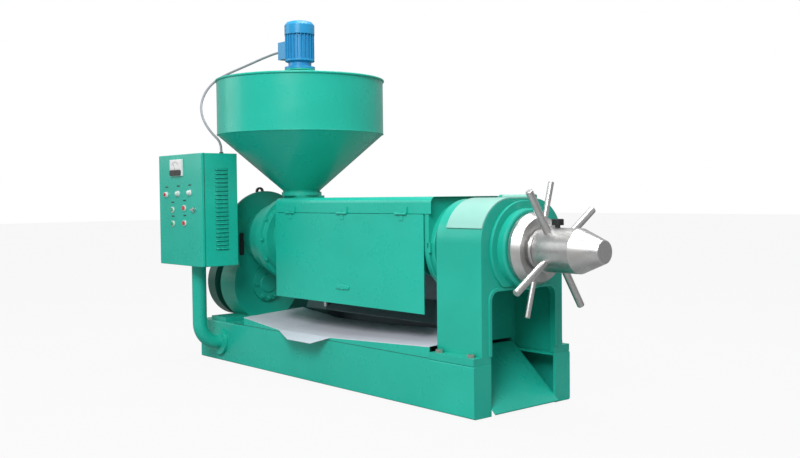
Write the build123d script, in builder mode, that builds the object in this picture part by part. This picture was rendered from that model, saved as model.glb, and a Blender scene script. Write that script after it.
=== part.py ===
import os
from math import acos, cos, degrees, hypot, pi, radians, sin, sqrt, tan

from build123d import *

# Screw oil press, in millimetres. The origin is on the floor under the middle of the base, +X points
# to the cake discharge end, -Y to the operator's side and +Z up.

os.makedirs("parts", exist_ok=True)

# Clearances
seat_gap = 0.3
journal_clearance = 0.05

# Base frame
base_length = 2560
base_width = 690
base_height = 250
rail_flange = 115
rail_flange_thickness = 14
rail_web = 12
rail_end_plate = 12
rail_corner_radius = 8
cross_member_width = 70
cross_member_wall = 11
cross_member_places = (-1215, -965, -490, 0, 470, 930)
anchor_hole_radius = 11
anchor_inset = 120
half_width = base_width / 2
half_length = base_length / 2
rail_tip = half_width - rail_flange
anchor_y = half_width - rail_flange / 2

# Press line and the shafts beside it
axis_height = 786.5
spindle_radius = 55
spindle_float = 8

# Gears: one module for both stages
gear_module = 8
pressure_angle = 20
gear_backlash = 0.7
wheel_addendum = 0.7
pinion_addendum = 0.9
tooth_root_depth = 1.0
bull_teeth = 55
layshaft_pinion_teeth = 14
layshaft_gear_teeth = 48
input_pinion_teeth = 12
shaft_drop = 306
bull_gear_width = 62
layshaft_gear_width = 40
main_pitch_distance = gear_module * (bull_teeth + layshaft_pinion_teeth) / 2
input_pitch_distance = gear_module * (layshaft_gear_teeth + input_pinion_teeth) / 2
input_z = axis_height - shaft_drop
layshaft_rise = (input_pitch_distance**2 - main_pitch_distance**2 + shaft_drop**2) / (2 * shaft_drop)
layshaft_y = sqrt(input_pitch_distance**2 - layshaft_rise**2)
layshaft_z = input_z + layshaft_rise
wheel_tip = gear_module * (layshaft_gear_teeth / 2 + wheel_addendum)

# Gear case
case_start = -1180
case_end = -1000
case_wall = 14
case_split = 820
case_flange = 14
case_flange_reach = 26
case_radius = 268
dome_rim_radius = 305
dome_rim_width = 22
input_lobe_radius = 250
case_skin = 12
case_foot_height = 25
case_foot_reach = 320
wheel_running_gap = 2.4
layshaft_lobe_radius = wheel_tip + wheel_running_gap + case_skin
gear_plane_gap = 4
bearing_boss_length = 32
bearing_boss_wall = 12

# Main bearing housing between the gear case and the feed housing
housing_end = -648
housing_disc_start = -725
housing_disc_radius = 265
housing_land = 22
housing_step = -860
housing_step_radius = 225
housing_radius = 180
lower_cover_radius = 118
lower_cover_thickness = 16

# Feed housing, cage and cage end flange
cage_start = -450
cage_end = 862
feed_bore = 104
feed_housing_radius = 190
feed_flange_radius = 240
feed_flange_width = 20
throat_left = -646
throat_right = -474
throat_half_width = 95
throat_wall = 12
throat_top = 1058
throat_collar = 17
throat_collar_radius = 125
throat_hole = 104
cage_radius = 170
cage_bar_inner = 78.5
cage_bar_outer = 98
cage_bar_count = 24
cage_bar_gap = 1.0
cage_rib_count = 8
cage_rib_width = 32
cage_ear_reach = 205
cage_ear_thickness = 24
cage_split_gap = 2
end_flange_radius = 235
end_flange_width = 38
end_barrel_radius = 150
end_bore = 90
lug_width = 50

# Worms
worm_core = 62
worm_flight = 74
feed_worm_flight = 98
worm_flight_width = 16
feed_worm_turns = 2
press_worm_turns = 2
press_worm_count = 5
worm_spacer = 14
worm_end_gap = 8

# Head column
column_start = 972
column_end = 1278
column_half_width = 290
column_top = 1030
column_corner = 207
column_back_wall = 18
column_front_wall = 28
column_side_wall = 40
column_roof = 30
column_opening_half_width = 228
column_opening_top = 591
column_opening_corner = 45
column_bead_width = 16
column_bead_height = 8
column_foot_height = 35
cake_slot_top = 300

# Lid on the head
lid_start = 1036
lid_margin = 2
lid_lower_edge = 890
lid_thickness = 6
lid_window_margin = 20
lid_knuckle_radius = 10
lid_pin_radius = 6
lid_lug_width = 20
lid_knuckle_gap = 2

# Adjusting gear in the head
bushing_spigot_radius = 120
bushing_flange_radius = 235
bushing_flange_width = 15
bushing_barrel_radius = 197
bushing_barrel_end = 1335
screw_radius = 75
lock_nut_gap = 5
lock_nut_radius = 177
lock_nut_land = 18
lock_nut_face_radius = 155
lock_nut_depth = 58
lock_nut_boss_radius = 100
lock_nut_boss = 12
lock_nut_bar_place = 41
lock_nut_bar_radius = 14
lock_nut_bar_angle = 15.7
bar_tip_radius = 335
screw_inner_end = 1262
sleeve_start = 1420
sleeve_radius = 106
sleeve_end = 1635
nose_end = 1768
nose_radius = 54
screw_bar_place = 63
screw_bar_radius = 18
screw_bar_angle = 56.3
screw_bar_seat = 62
lock_bar_seat = 120
set_screw_place = 76
set_screw_head = 40
set_screw_head_height = 30
set_screw_neck = 11
set_screw_radius = 12
set_screw_depth = 30
thrust_bore = 52
journal_radius = 40
journal_start = 1240
journal_end = 1395
thrust_bearing_end = 1404

# Cake chute
chute_top_x = 992
chute_top_z = 284
chute_foot_x = 1304
chute_foot_z = 16
chute_thickness = 4

# Oil tray and the plate behind it
tray_start = -740
tray_left_edge = 303
tray_right_edge = 312
spout_left = -354
spout_right = 162
spout_left_edge = 266
spout_right_edge = 272
spout_lip_left = -126
spout_lip_right = 98
spout_lip_z = 243
spout_reach = 92
tray_thickness = 3
tray_depth = 450
tray_rise = 27
tray_lip_thickness = 6
deflector_y = 243
deflector_knee = 449
deflector_top = 740
deflector_thickness = 3
deflector_start = -490
drip_y = -70
drip_radius = 11
drip_end = 390
drip_wall = 2.5

# Cover
cover_start = -500
cover_end = 838
cover_strip_end = 894
cover_front = 253
cover_bottom = 449
cover_top = 1044
cover_sheet = 3
cover_edge_radius = 30
door_top = 957
door_right = 842
door_sheet = 4
door_gap = 2
cover_rail_height = 30
hinge_places = (-338, 168, 671)
hinge_length = 90
hinge_leaf_height = 30
hinge_leaf_thickness = 3
hinge_radius = 6
hinge_pin_radius = 3
latch_x = 168
latch_z = 545
latch_length = 120
latch_height = 22
latch_thickness = 8
latch_stem_radius = 6
latch_cam_reach = 78

# Hopper and its feed drive
hopper_x = -586.5
hopper_radius = 520
hopper_rim = 1779
hopper_shoulder = 1440
neck_radius = 113
neck_height = 1083
hopper_sheet = 4
hopper_bead_radius = 7
bridge_bottom = 1700
bridge_height = 50
bridge_width = 110
bridge_wall = 8
pedestal_radius = 62
motor_seat = 1850
motor_seat_thickness = 10
motor_seat_radius = 95
auger_radius = 94
auger_shaft_radius = 14
auger_bottom = 900
auger_flight_bottom = 1086
auger_flight_height = 220
auger_turns = 2
auger_blade = 8
feed_motor_flange = 15
feed_motor_neck = 35
feed_motor_neck_radius = 72
feed_motor_core = 80
feed_motor_fins = 24
feed_motor_radius = 92
feed_motor_body_top = 2066
feed_motor_cowl_top = 2149
terminal_left = -761
terminal_half_width = 50
terminal_bottom = 1925
terminal_top = 2035

# Control cabinet on its post
cabinet_left = -1298
cabinet_right = -748
cabinet_front = -619
cabinet_back = -372
cabinet_bottom = 630
cabinet_top = 1322
cabinet_sheet = 4
cabinet_return = 16
cabinet_door_depth = 18
louvre_count = 20
louvre_height = 9
louvre_front = -524
louvre_back = -440
louvre_bottom = 737
louvre_top = 1222
meter_left = -1128
meter_right = -978
meter_bottom = 1189
meter_top = 1292
meter_depth = 14
lamp_places = ((-1196, 1074), (-1042, 1079), (-894, 1083))
lamp_radius = 15
lamp_depth = 16
lamp_ring = 3
button_places = (("press_start_button", -1118, 978), ("press_stop_button", -964, 989),
                 ("feeder_start_button", -1116, 890), ("feeder_stop_button", -964, 895))
button_radius = 13
button_ring_radius = 18
button_ring_depth = 8
button_proud = 6
button_travel = 4
button_stem = 12
door_lock_x = -844
door_lock_z = 979
door_lock_radius = 15
door_lock_cam = 92
cabinet_knuckle_radius = 6
cabinet_knuckle_length = 40
cabinet_knuckle_offset = 0.5
cabinet_hinge_places = (760, 1190)
post_x = -1023.5
post_y = -495
post_radius = 44.5
post_bend = 130
post_foot_z = 125
post_flange_radius = 85
post_flange_width = 20

# Main motor, belt drive and guard
motor_y = 600
motor_z = 280
motor_start = -1180
motor_end = -760
motor_core = 152
motor_radius = 165
motor_fins = 28
motor_cowl_length = 90
motor_shaft_radius = 24
motor_foot_height = 16
slide_rail_height = 100
slide_rail_places = (-1060, -830)
slide_rail_width = 60
slide_rail_end = 790
input_pulley_radius = 200
motor_pulley_radius = 100
pulley_start = -1366
pulley_width = 74
belt_count = 3
belt_pitch = 22
belt_width = 14
belt_height = 12
groove_depth = 16
input_shaft_radius = 30
guard_start = -1375
guard_input_radius = 235
guard_motor_radius = 135
guard_sheet = 3

# Conduit between the feed motor and the cabinet
conduit_radius = 7.5
conduit_points = [
    (-783, 0, 1986), (-852, 0, 1986), (-940, -34, 1964), (-1030, -72, 1935), (-1114, -113, 1906),
    (-1198, -158, 1876), (-1270, -207, 1838), (-1304, -266, 1766), (-1286, -316, 1672),
    (-1216, -348, 1588), (-1120, -372, 1520), (-1014, -390, 1461), (-928, -403, 1424), (-886, -409, 1397),
    (-868, -410, 1366), (-868, -410, 1335),
]
gland_radius = 13
gland_length = 20


def across(x, y=0.0, z=0.0):
    """Plane across the machine at x: its own x runs along +Y, its own y along +Z, and it faces +X."""
    return Plane(origin=(x, y, z), x_dir=(0, 1, 0), z_dir=(1, 0, 0))


def lengthwise(y=0.0, z=0.0):
    """Upright plane along the machine through y and z: x runs along +X, y along +Z, it faces -Y."""
    return Plane(origin=(0, y, z), x_dir=(1, 0, 0), z_dir=(0, -1, 0))


def turning(y, z):
    """Line along X through y and z, about which round pieces are turned."""
    return Axis((0, y, z), (1, 0, 0))


def turned_outline(points, y, z):
    """Closed outline of (place along X, radius) points, set beside the turning line through y and z."""
    with BuildSketch(lengthwise(y, z)) as outline:
        with BuildLine():
            Polyline(*points, close=True)
        make_face()
    return outline.sketch


def rod_sketch(start, direction, radius):
    """Circle square to a direction, from which a rod is extruded."""
    with BuildSketch(Plane(origin=start, z_dir=direction)) as circle:
        Circle(radius)
    return circle.sketch


def polar(angle, radius, y=0.0, z=axis_height):
    """Point across the machine at a radius, its angle measured from +Z towards +Y."""
    return (y + radius * sin(radians(angle)), z + radius * cos(radians(angle)))


def hex_head(x, y, z, size):
    """Hexagon on a face that looks along +X."""
    with BuildSketch(across(x, y, z)) as head:
        RegularPolygon(size / 2, 6, major_radius=False)
    return head.sketch


def involute(angle):
    return tan(angle) - angle


def gear_outline(teeth, addendum, phase, plane):
    """Spur gear: each flank has a point on the root, on the base or pitch circle and on the tip."""
    pitch_radius = gear_module * teeth / 2
    base_radius = pitch_radius * cos(radians(pressure_angle))
    root_radius = pitch_radius - gear_module * tooth_root_depth
    tip_radius = pitch_radius + gear_module * addendum
    half_tooth = pi / (2 * teeth) - gear_backlash / (4 * pitch_radius) + involute(radians(pressure_angle))
    points = []
    for tooth in range(teeth):
        middle = radians(phase) + 2 * pi * tooth / teeth
        for radius, side in ((root_radius, -1), (pitch_radius, -1), (tip_radius, -1),
                             (tip_radius, 1), (pitch_radius, 1), (root_radius, 1)):
            flank = half_tooth - involute(acos(min(1, base_radius / radius)))
            angle = middle + side * flank
            points.append((radius * cos(angle), radius * sin(angle)))
    with BuildSketch(plane) as gear:
        with BuildLine():
            Polyline(*points, close=True)
        make_face()
    return gear.sketch


def belt_line(offset):
    """Outline of two circles and their outer tangents round the pulleys, grown by an offset."""
    with BuildSketch(Plane.XY) as around:
        with BuildLine():
            CenterArc((0, input_z), input_pulley_radius + offset, 0, 360)
            CenterArc((motor_y, motor_z), motor_pulley_radius + offset, 0, 360)
        make_hull()
    return around.sketch


def save(piece, name):
    piece.label = name
    export_step(piece, f"parts/{name}.step")


# Base frame: two channel rails with closed ends, cross members and the lip that carries the tray
lip_base = base_height - rail_corner_radius
with BuildPart() as base_frame:
    with BuildSketch(across(-half_length)):
        with Locations((anchor_y, base_height / 2), (-anchor_y, base_height / 2)):
            Rectangle(rail_flange, base_height)
    extrude(amount=base_length)
    fillet(base_frame.edges().filter_by(Axis.X).filter_by(
        lambda edge: abs(abs(edge.center().Y) - half_width) < 1), rail_corner_radius)
    with BuildSketch(across(-half_length + rail_end_plate)):
        for side in (-1, 1):
            with Locations((side * (anchor_y - rail_web / 2), base_height / 2)):
                Rectangle(rail_flange - rail_web, base_height - 2 * rail_flange_thickness)
    extrude(amount=base_length - 2 * rail_end_plate, mode=Mode.SUBTRACT)
    for place in cross_member_places:
        with BuildSketch(lengthwise(rail_tip)):
            with Locations((place, base_height / 2)):
                Rectangle(cross_member_width, base_height)
            with Locations((place + cross_member_wall, base_height / 2)):
                Rectangle(cross_member_width, base_height - 2 * cross_member_wall, mode=Mode.SUBTRACT)
        extrude(amount=2 * rail_tip)
    with BuildSketch(lengthwise(-half_width + tray_lip_thickness)):
        with BuildLine():
            Polyline(
                (tray_start, lip_base), (tray_start, tray_left_edge - tray_thickness),
                (spout_left, spout_left_edge - tray_thickness),
                (spout_right, spout_right_edge - tray_thickness),
                (column_start - seat_gap, tray_right_edge - tray_thickness),
                (column_start - seat_gap, lip_base), close=True)
        make_face()
    extrude(amount=tray_lip_thickness)
    with Locations(*[(side_x * (half_length - anchor_inset), side_y * anchor_y, rail_flange_thickness)
                     for side_x in (-1, 1) for side_y in (-1, 1)]):
        Hole(anchor_hole_radius, depth=rail_flange_thickness)
save(base_frame.part, "base_frame")

# Cake chute: a bent sheet between the rails, from under the head to the end of the base
chute_slope = (chute_top_z - chute_foot_z) / (chute_foot_x - chute_top_x)
with BuildPart() as cake_chute:
    with BuildSketch(lengthwise(rail_tip - seat_gap)):
        with BuildLine():
            Polyline(
                (chute_top_x, chute_top_z), (chute_foot_x, chute_foot_z),
                (chute_foot_x, chute_foot_z - chute_thickness * 1.4),
                (chute_top_x, chute_top_z - chute_thickness * 1.4), close=True)
        make_face()
    extrude(amount=2 * (rail_tip - seat_gap))
save(cake_chute.part, "cake_chute")

# Head column: an arched casting, hollow inside, open at the discharge side and below
lid_end = column_end - lid_margin
shoulder_y = column_half_width - column_corner
shoulder_z = column_top - column_corner
lid_pin_y = shoulder_y + lid_knuckle_radius + 4
lid_pin_z = column_top + lid_knuckle_radius
chamber_top = column_top - column_roof
chamber_depth = column_end - column_front_wall - column_start - column_back_wall
foot_middle = (column_start + column_end) / 2
with BuildPart() as head_column:
    with BuildSketch(across(column_start)) as arch:
        with Locations((0, (base_height + column_top) / 2)):
            Rectangle(2 * column_half_width, column_top - base_height)
        fillet(arch.vertices().group_by(Axis.Y)[-1], column_corner)
    extrude(amount=column_end - column_start)
    with BuildSketch(Plane.XY.offset(base_height)):
        with Locations((foot_middle, 0)):
            Rectangle(column_end - column_start, base_width)
    extrude(amount=column_foot_height)
    with BuildSketch(across(column_start + column_back_wall)) as chamber:
        with Locations((0, (base_height + chamber_top) / 2)):
            Rectangle(2 * (column_half_width - column_side_wall), chamber_top - base_height)
        fillet(chamber.vertices().group_by(Axis.Y)[-1], column_corner - column_roof)
    extrude(amount=chamber_depth, mode=Mode.SUBTRACT)
    with BuildSketch(across(column_end - column_front_wall)) as opening:
        with Locations((0, (base_height + column_opening_top) / 2)):
            Rectangle(2 * column_opening_half_width, column_opening_top - base_height)
        fillet(opening.vertices().group_by(Axis.Y)[-1], column_opening_corner)
    extrude(amount=column_front_wall, mode=Mode.SUBTRACT)
    with BuildSketch(across(column_end)) as bead:
        bead_top = column_opening_top + column_bead_width
        bead_foot = base_height + column_foot_height
        with Locations((0, (bead_foot + bead_top) / 2)):
            Rectangle(2 * (column_opening_half_width + column_bead_width), bead_top - bead_foot)
        fillet(bead.vertices().group_by(Axis.Y)[-1], column_opening_corner + column_bead_width)
        add(opening.sketch_local, mode=Mode.SUBTRACT)
    extrude(amount=column_bead_height)
    with BuildSketch(across(column_start)):
        with Locations((0, (base_height + cake_slot_top) / 2)):
            Rectangle(2 * column_opening_half_width, cake_slot_top - base_height)
    extrude(amount=column_back_wall, mode=Mode.SUBTRACT)
    with BuildSketch(across(column_start)):
        with Locations((0, axis_height)):
            Circle(end_barrel_radius + seat_gap)
    extrude(amount=column_back_wall, mode=Mode.SUBTRACT)
    with BuildSketch(across(column_end - column_front_wall)):
        with Locations((0, axis_height)):
            Circle(bushing_spigot_radius)
    extrude(amount=column_front_wall, mode=Mode.SUBTRACT)
    with BuildSketch(Plane.XY.offset(lid_lower_edge + lid_window_margin)):
        with Locations(((lid_start + lid_end) / 2, (shoulder_y - lid_window_margin - column_half_width) / 2)):
            Rectangle(lid_end - lid_start - 2 * lid_window_margin - 8,
                      column_half_width + shoulder_y - lid_window_margin)
    extrude(amount=column_top, mode=Mode.SUBTRACT)
    for lug_start in (lid_start, lid_end - lid_lug_width):
        with BuildSketch(across(lug_start)):
            with Locations((lid_pin_y, lid_pin_z)):
                Circle(lid_knuckle_radius)
            with Locations((lid_pin_y, lid_pin_z - lid_knuckle_radius)):
                Rectangle(2 * lid_knuckle_radius, 2 * lid_knuckle_radius)
            with Locations((lid_pin_y, lid_pin_z)):
                Circle(lid_pin_radius, mode=Mode.SUBTRACT)
        extrude(amount=lid_lug_width)
save(head_column.part, "head_column")

# Lid over the head: an arched plate that swings back over its pin
lid_sweep = degrees(acos((lid_lower_edge - shoulder_z) / column_corner))
lid_inner = column_corner + seat_gap
lid_outer = lid_inner + lid_thickness
lid_low = radians(90 + lid_sweep)
with BuildPart() as head_lid:
    with BuildSketch(across(lid_start)):
        with BuildLine():
            CenterArc((-shoulder_y, shoulder_z), lid_inner, 90, lid_sweep)
            CenterArc((-shoulder_y, shoulder_z), lid_outer, 90, lid_sweep)
            Line((-shoulder_y + lid_inner * cos(lid_low), shoulder_z + lid_inner * sin(lid_low)),
                 (-shoulder_y + lid_outer * cos(lid_low), shoulder_z + lid_outer * sin(lid_low)))
            Polyline((-shoulder_y, shoulder_z + lid_inner), (shoulder_y, shoulder_z + lid_inner),
                     (shoulder_y, shoulder_z + lid_outer), (-shoulder_y, shoulder_z + lid_outer))
        make_face()
    extrude(amount=lid_end - lid_start)
    knuckle_start = lid_start + lid_lug_width + lid_knuckle_gap
    with BuildSketch(across(knuckle_start)):
        with Locations(((shoulder_y + lid_pin_y) / 2, shoulder_z + (lid_inner + lid_outer) / 2)):
            Rectangle(lid_pin_y - shoulder_y, lid_thickness)
        with Locations((lid_pin_y, lid_pin_z + seat_gap)):
            Circle(lid_knuckle_radius - seat_gap)
        with Locations((lid_pin_y, lid_pin_z)):
            Circle(lid_pin_radius + journal_clearance, mode=Mode.SUBTRACT)
    extrude(amount=lid_end - lid_lug_width - lid_knuckle_gap - knuckle_start)
save(head_lid.part, "head_lid")

with BuildPart() as lid_hinge_pin:
    extrude(rod_sketch((lid_start, lid_pin_y, lid_pin_z), (1, 0, 0), lid_pin_radius), amount=lid_end - lid_start)
    chamfer(lid_hinge_pin.edges().filter_by(GeomType.CIRCLE), 1)
save(lid_hinge_pin.part, "lid_hinge_pin")

# Bushing in the head, with its flange cut straight over the discharge opening
flange_chord = column_opening_top + column_bead_width + 2
with BuildPart() as head_bushing:
    revolve(turned_outline([
        (column_end - column_front_wall, screw_radius + seat_gap),
        (column_end - column_front_wall, bushing_spigot_radius),
        (column_end, bushing_spigot_radius), (column_end, bushing_flange_radius),
        (column_end + bushing_flange_width - 3, bushing_flange_radius),
        (column_end + bushing_flange_width, bushing_flange_radius - 3),
        (column_end + bushing_flange_width, bushing_barrel_radius),
        (bushing_barrel_end - 8, bushing_barrel_radius), (bushing_barrel_end, bushing_barrel_radius - 8),
        (bushing_barrel_end, screw_radius + seat_gap),
    ], 0, axis_height), axis=turning(0, axis_height))
    with BuildSketch(across(column_end)):
        with Locations((0, flange_chord - bushing_flange_radius)):
            Rectangle(2 * bushing_flange_radius, 2 * bushing_flange_radius)
    extrude(amount=bushing_flange_width, mode=Mode.SUBTRACT)
save(head_bushing.part, "head_bushing")

# Lock nut with two bars screwed into its rim
nut_start = bushing_barrel_end + lock_nut_gap
nut_face = nut_start + lock_nut_depth
nut_bar_x = nut_start + lock_nut_bar_place
nut_directions = [polar(lock_nut_bar_angle + 180 * turn, 1, 0, 0) for turn in range(2)]
with BuildPart() as lock_nut:
    revolve(turned_outline([
        (nut_start, screw_radius + seat_gap), (nut_start, lock_nut_radius),
        (nut_start + lock_nut_land, lock_nut_radius), (nut_face, lock_nut_face_radius),
        (nut_face, lock_nut_boss_radius), (nut_face + lock_nut_boss, lock_nut_boss_radius - 4),
        (nut_face + lock_nut_boss, screw_radius + seat_gap),
    ], 0, axis_height), axis=turning(0, axis_height))
    for y, z in nut_directions:
        extrude(rod_sketch((nut_bar_x, y * lock_bar_seat, axis_height + z * lock_bar_seat), (0, y, z),
                           lock_nut_bar_radius + journal_clearance),
                amount=lock_nut_radius - lock_bar_seat, mode=Mode.SUBTRACT)
save(lock_nut.part, "lock_nut")

with BuildPart() as lock_nut_bars:
    for y, z in nut_directions:
        extrude(rod_sketch((nut_bar_x, y * lock_bar_seat, axis_height + z * lock_bar_seat), (0, y, z),
                           lock_nut_bar_radius), amount=bar_tip_radius - lock_bar_seat)
    fillet(lock_nut_bars.edges().filter_by(GeomType.CIRCLE).filter_by(
        lambda edge: hypot(edge.center().Y, edge.center().Z - axis_height) > lock_nut_radius), 4)
save(lock_nut_bars.part, "lock_nut_bars")

# Adjusting screw: threaded shank, sleeve with a cone nose, four bars and a square-head set screw
screw_bar_x = sleeve_start + screw_bar_place
set_screw_x = sleeve_start + set_screw_place
set_screw_seat = axis_height + sleeve_radius
screw_directions = [polar(screw_bar_angle + 90 * turn, 1, 0, 0) for turn in range(4)]
with BuildPart() as adjusting_screw:
    revolve(turned_outline([
        (screw_inner_end, thrust_bore), (screw_inner_end, screw_radius), (sleeve_start, screw_radius),
        (sleeve_start, sleeve_radius - 4), (sleeve_start + 4, sleeve_radius), (sleeve_end, sleeve_radius),
        (nose_end - 2, nose_radius), (nose_end, nose_radius - 3), (nose_end, 0),
        (thrust_bearing_end + 6, 0), (thrust_bearing_end + 6, thrust_bore),
    ], 0, axis_height), axis=turning(0, axis_height))
    for y, z in screw_directions:
        extrude(rod_sketch((screw_bar_x, y * screw_bar_seat, axis_height + z * screw_bar_seat), (0, y, z),
                           screw_bar_radius + journal_clearance),
                amount=sleeve_radius - screw_bar_seat, mode=Mode.SUBTRACT)
    extrude(rod_sketch((set_screw_x, 0, set_screw_seat - set_screw_depth), (0, 0, 1),
                       set_screw_radius + journal_clearance), amount=set_screw_depth, mode=Mode.SUBTRACT)
save(adjusting_screw.part, "adjusting_screw")

with BuildPart() as adjusting_screw_bars:
    for y, z in screw_directions:
        extrude(rod_sketch((screw_bar_x, y * screw_bar_seat, axis_height + z * screw_bar_seat), (0, y, z),
                           screw_bar_radius), amount=bar_tip_radius - screw_bar_seat)
    fillet(adjusting_screw_bars.edges().filter_by(GeomType.CIRCLE).filter_by(
        lambda edge: hypot(edge.center().Y, edge.center().Z - axis_height) > sleeve_radius), 5)
save(adjusting_screw_bars.part, "adjusting_screw_bars")

with BuildPart() as set_screw:
    extrude(rod_sketch((set_screw_x, 0, set_screw_seat - set_screw_depth), (0, 0, 1), set_screw_radius),
            amount=set_screw_depth + set_screw_neck)
    with BuildSketch(Plane.XY.offset(set_screw_seat + set_screw_neck)):
        with Locations((set_screw_x, 0)):
            Rectangle(set_screw_head, set_screw_head)
    extrude(amount=set_screw_head_height)
    chamfer(set_screw.edges().group_by(Axis.Z)[-1], 3)
save(set_screw.part, "set_screw")

with BuildPart() as thrust_bearing:
    revolve(turned_outline([
        (journal_start + seat_gap, journal_radius + journal_clearance),
        (journal_start + seat_gap, spindle_radius + 6), (screw_inner_end - seat_gap, spindle_radius + 6),
        (screw_inner_end - seat_gap, thrust_bore - journal_clearance),
        (thrust_bearing_end, thrust_bore - journal_clearance),
        (thrust_bearing_end, journal_radius + journal_clearance),
    ], 0, axis_height), axis=turning(0, axis_height))
save(thrust_bearing.part, "thrust_bearing")

# Planes of the two gear stages, counted from the back wall of the case
layshaft_gear_start = case_start + bearing_boss_length + gear_plane_gap
bull_gear_start = layshaft_gear_start + layshaft_gear_width + gear_plane_gap
main_bearing_start = case_end + 10
main_bearing_radius = 100
small_bearing_radius = 62
back_journal_radius = 45
back_bearing_radius = 80

# Spindle from the gear case to the thrust bearing
cone_start = cage_end + end_flange_width + worm_end_gap
with BuildPart() as spindle:
    revolve(turned_outline([
        (case_start + 4, 0), (case_start + 4, back_journal_radius),
        (case_start + bearing_boss_length + spindle_float, back_journal_radius),
        (case_start + bearing_boss_length + spindle_float, spindle_radius), (cone_start, spindle_radius),
        (cone_start, worm_core), (column_start + column_back_wall, end_bore - 8),
        (column_start + column_back_wall + 40, end_bore - 8),
        (column_start + column_back_wall + 60, spindle_radius), (journal_start, spindle_radius),
        (journal_start, journal_radius), (journal_end, journal_radius), (journal_end, 0),
    ], 0, axis_height), axis=turning(0, axis_height))
save(spindle.part, "spindle")


def worm(start, length, core, flight, turns):
    """Worm section on the spindle: a core with one flight that winds round it, bored for the spindle."""
    with BuildSketch(across(start, 0, axis_height)) as section:
        Circle(core)
        with BuildSketch(mode=Mode.PRIVATE) as tooth:
            Circle(flight)
            with Locations((0, flight / 2)):
                Rectangle(worm_flight_width, flight, mode=Mode.INTERSECT)
        add(tooth.sketch)
    twisted = Solid.extrude_linear_with_rotation(
        section.sketch.faces()[0], (start, 0, axis_height), (length, 0, 0), 360 * turns)
    with BuildPart() as piece:
        add(twisted)
        with BuildSketch(across(start, 0, axis_height)):
            Circle(spindle_radius + journal_clearance)
        extrude(amount=length, mode=Mode.SUBTRACT)
    return piece.part


feed_worm_start = housing_end + 8
press_worm_start = cage_start + worm_end_gap
press_worm_step = (cone_start - worm_end_gap - press_worm_start) / press_worm_count
worms = [worm(feed_worm_start, cage_start - feed_worm_start - worm_end_gap, worm_core, feed_worm_flight,
              feed_worm_turns)]
for number in range(press_worm_count):
    worms.append(worm(press_worm_start + number * press_worm_step, press_worm_step - worm_spacer, worm_core,
                      worm_flight, press_worm_turns))
press_worms = Compound(children=worms)
save(press_worms, "press_worms")

# Cage: drainage bars in two ribbed halves, closed by the end flange
with BuildPart() as cage_bars:
    cage_bar_middle = (cage_bar_inner + cage_bar_outer - 1) / 2
    outer_pitch = 2 * (cage_bar_outer - 1) * tan(pi / cage_bar_count)
    with BuildSketch(across(cage_start, 0, axis_height)):
        with PolarLocations(cage_bar_middle, cage_bar_count):
            Trapezoid(outer_pitch - cage_bar_gap, cage_bar_outer - cage_bar_inner - 1, 90 - 180 / cage_bar_count,
                      rotation=90)
    extrude(amount=cage_end - cage_start)
save(cage_bars.part, "cage_bars")

rib_step = (cage_end - cage_start - cage_rib_width) / (cage_rib_count - 1)
with BuildPart() as cage_halves:
    for number in range(cage_rib_count):
        with BuildSketch(across(cage_start + number * rib_step, 0, axis_height)):
            Circle(cage_radius)
            Circle(cage_bar_outer + seat_gap, mode=Mode.SUBTRACT)
            Rectangle(2 * cage_radius, cage_split_gap, mode=Mode.SUBTRACT)
        extrude(amount=cage_rib_width)
    for side_y in (-1, 1):
        for side_z in (-1, 1):
            with BuildSketch(across(cage_start, 0, axis_height)):
                with Locations((side_y * (cage_ear_reach + cage_radius - 40) / 2,
                                side_z * (cage_split_gap + cage_ear_thickness) / 2)):
                    Rectangle(cage_ear_reach - cage_radius + 40, cage_ear_thickness)
            extrude(amount=cage_end - cage_start)
save(cage_halves.part, "cage_halves")

end_flange_end = cage_end + end_flange_width
with BuildPart() as cage_end_flange:
    revolve(turned_outline([
        (cage_end, end_bore), (cage_end, end_flange_radius), (end_flange_end, end_flange_radius),
        (end_flange_end, end_barrel_radius), (column_start + column_back_wall, end_barrel_radius),
        (column_start + column_back_wall, end_bore),
    ], 0, axis_height), axis=turning(0, axis_height))
    with BuildSketch(across(cage_end, 0, axis_height)):
        Rectangle(2 * (cover_front - cover_sheet - seat_gap), lug_width)
        Circle(end_flange_radius - 20, mode=Mode.SUBTRACT)
    extrude(amount=end_flange_width / 2)
save(cage_end_flange.part, "cage_end_flange")

# Feed housing: round body with the throat that the hopper stands on
with BuildPart() as feed_housing:
    revolve(turned_outline([
        (housing_end, feed_bore), (housing_end, feed_flange_radius),
        (housing_end + feed_flange_width, feed_flange_radius),
        (housing_end + feed_flange_width, feed_housing_radius), (cage_start, feed_housing_radius),
        (cage_start, feed_bore),
    ], 0, axis_height), axis=turning(0, axis_height))
    throat_middle = (throat_left + throat_right) / 2
    with BuildSketch(Plane.XY.offset(axis_height + feed_bore)):
        with Locations((throat_middle, 0)):
            Rectangle(throat_right - throat_left, 2 * throat_half_width)
    extrude(amount=throat_top - axis_height - feed_bore)
    with BuildSketch(Plane.XY.offset(throat_top)):
        with Locations((hopper_x, 0)):
            Circle(throat_collar_radius)
    extrude(amount=throat_collar)
    with BuildSketch(Plane.XY.offset(axis_height)):
        with Locations((throat_middle, 0)):
            Rectangle(throat_right - throat_left - 2 * throat_wall, 2 * (throat_half_width - throat_wall))
    extrude(amount=throat_top - axis_height, mode=Mode.SUBTRACT)
    with BuildSketch(Plane.XY.offset(throat_top - 1)):
        with Locations((hopper_x, 0)):
            Circle(throat_hole)
            with Locations((throat_middle - hopper_x, 0)):
                Rectangle(throat_right - throat_left - 2 * throat_wall, 2 * (throat_half_width - throat_wall),
                          mode=Mode.INTERSECT)
    extrude(amount=throat_collar + 1, mode=Mode.SUBTRACT)
save(feed_housing.part, "feed_housing")

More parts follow.
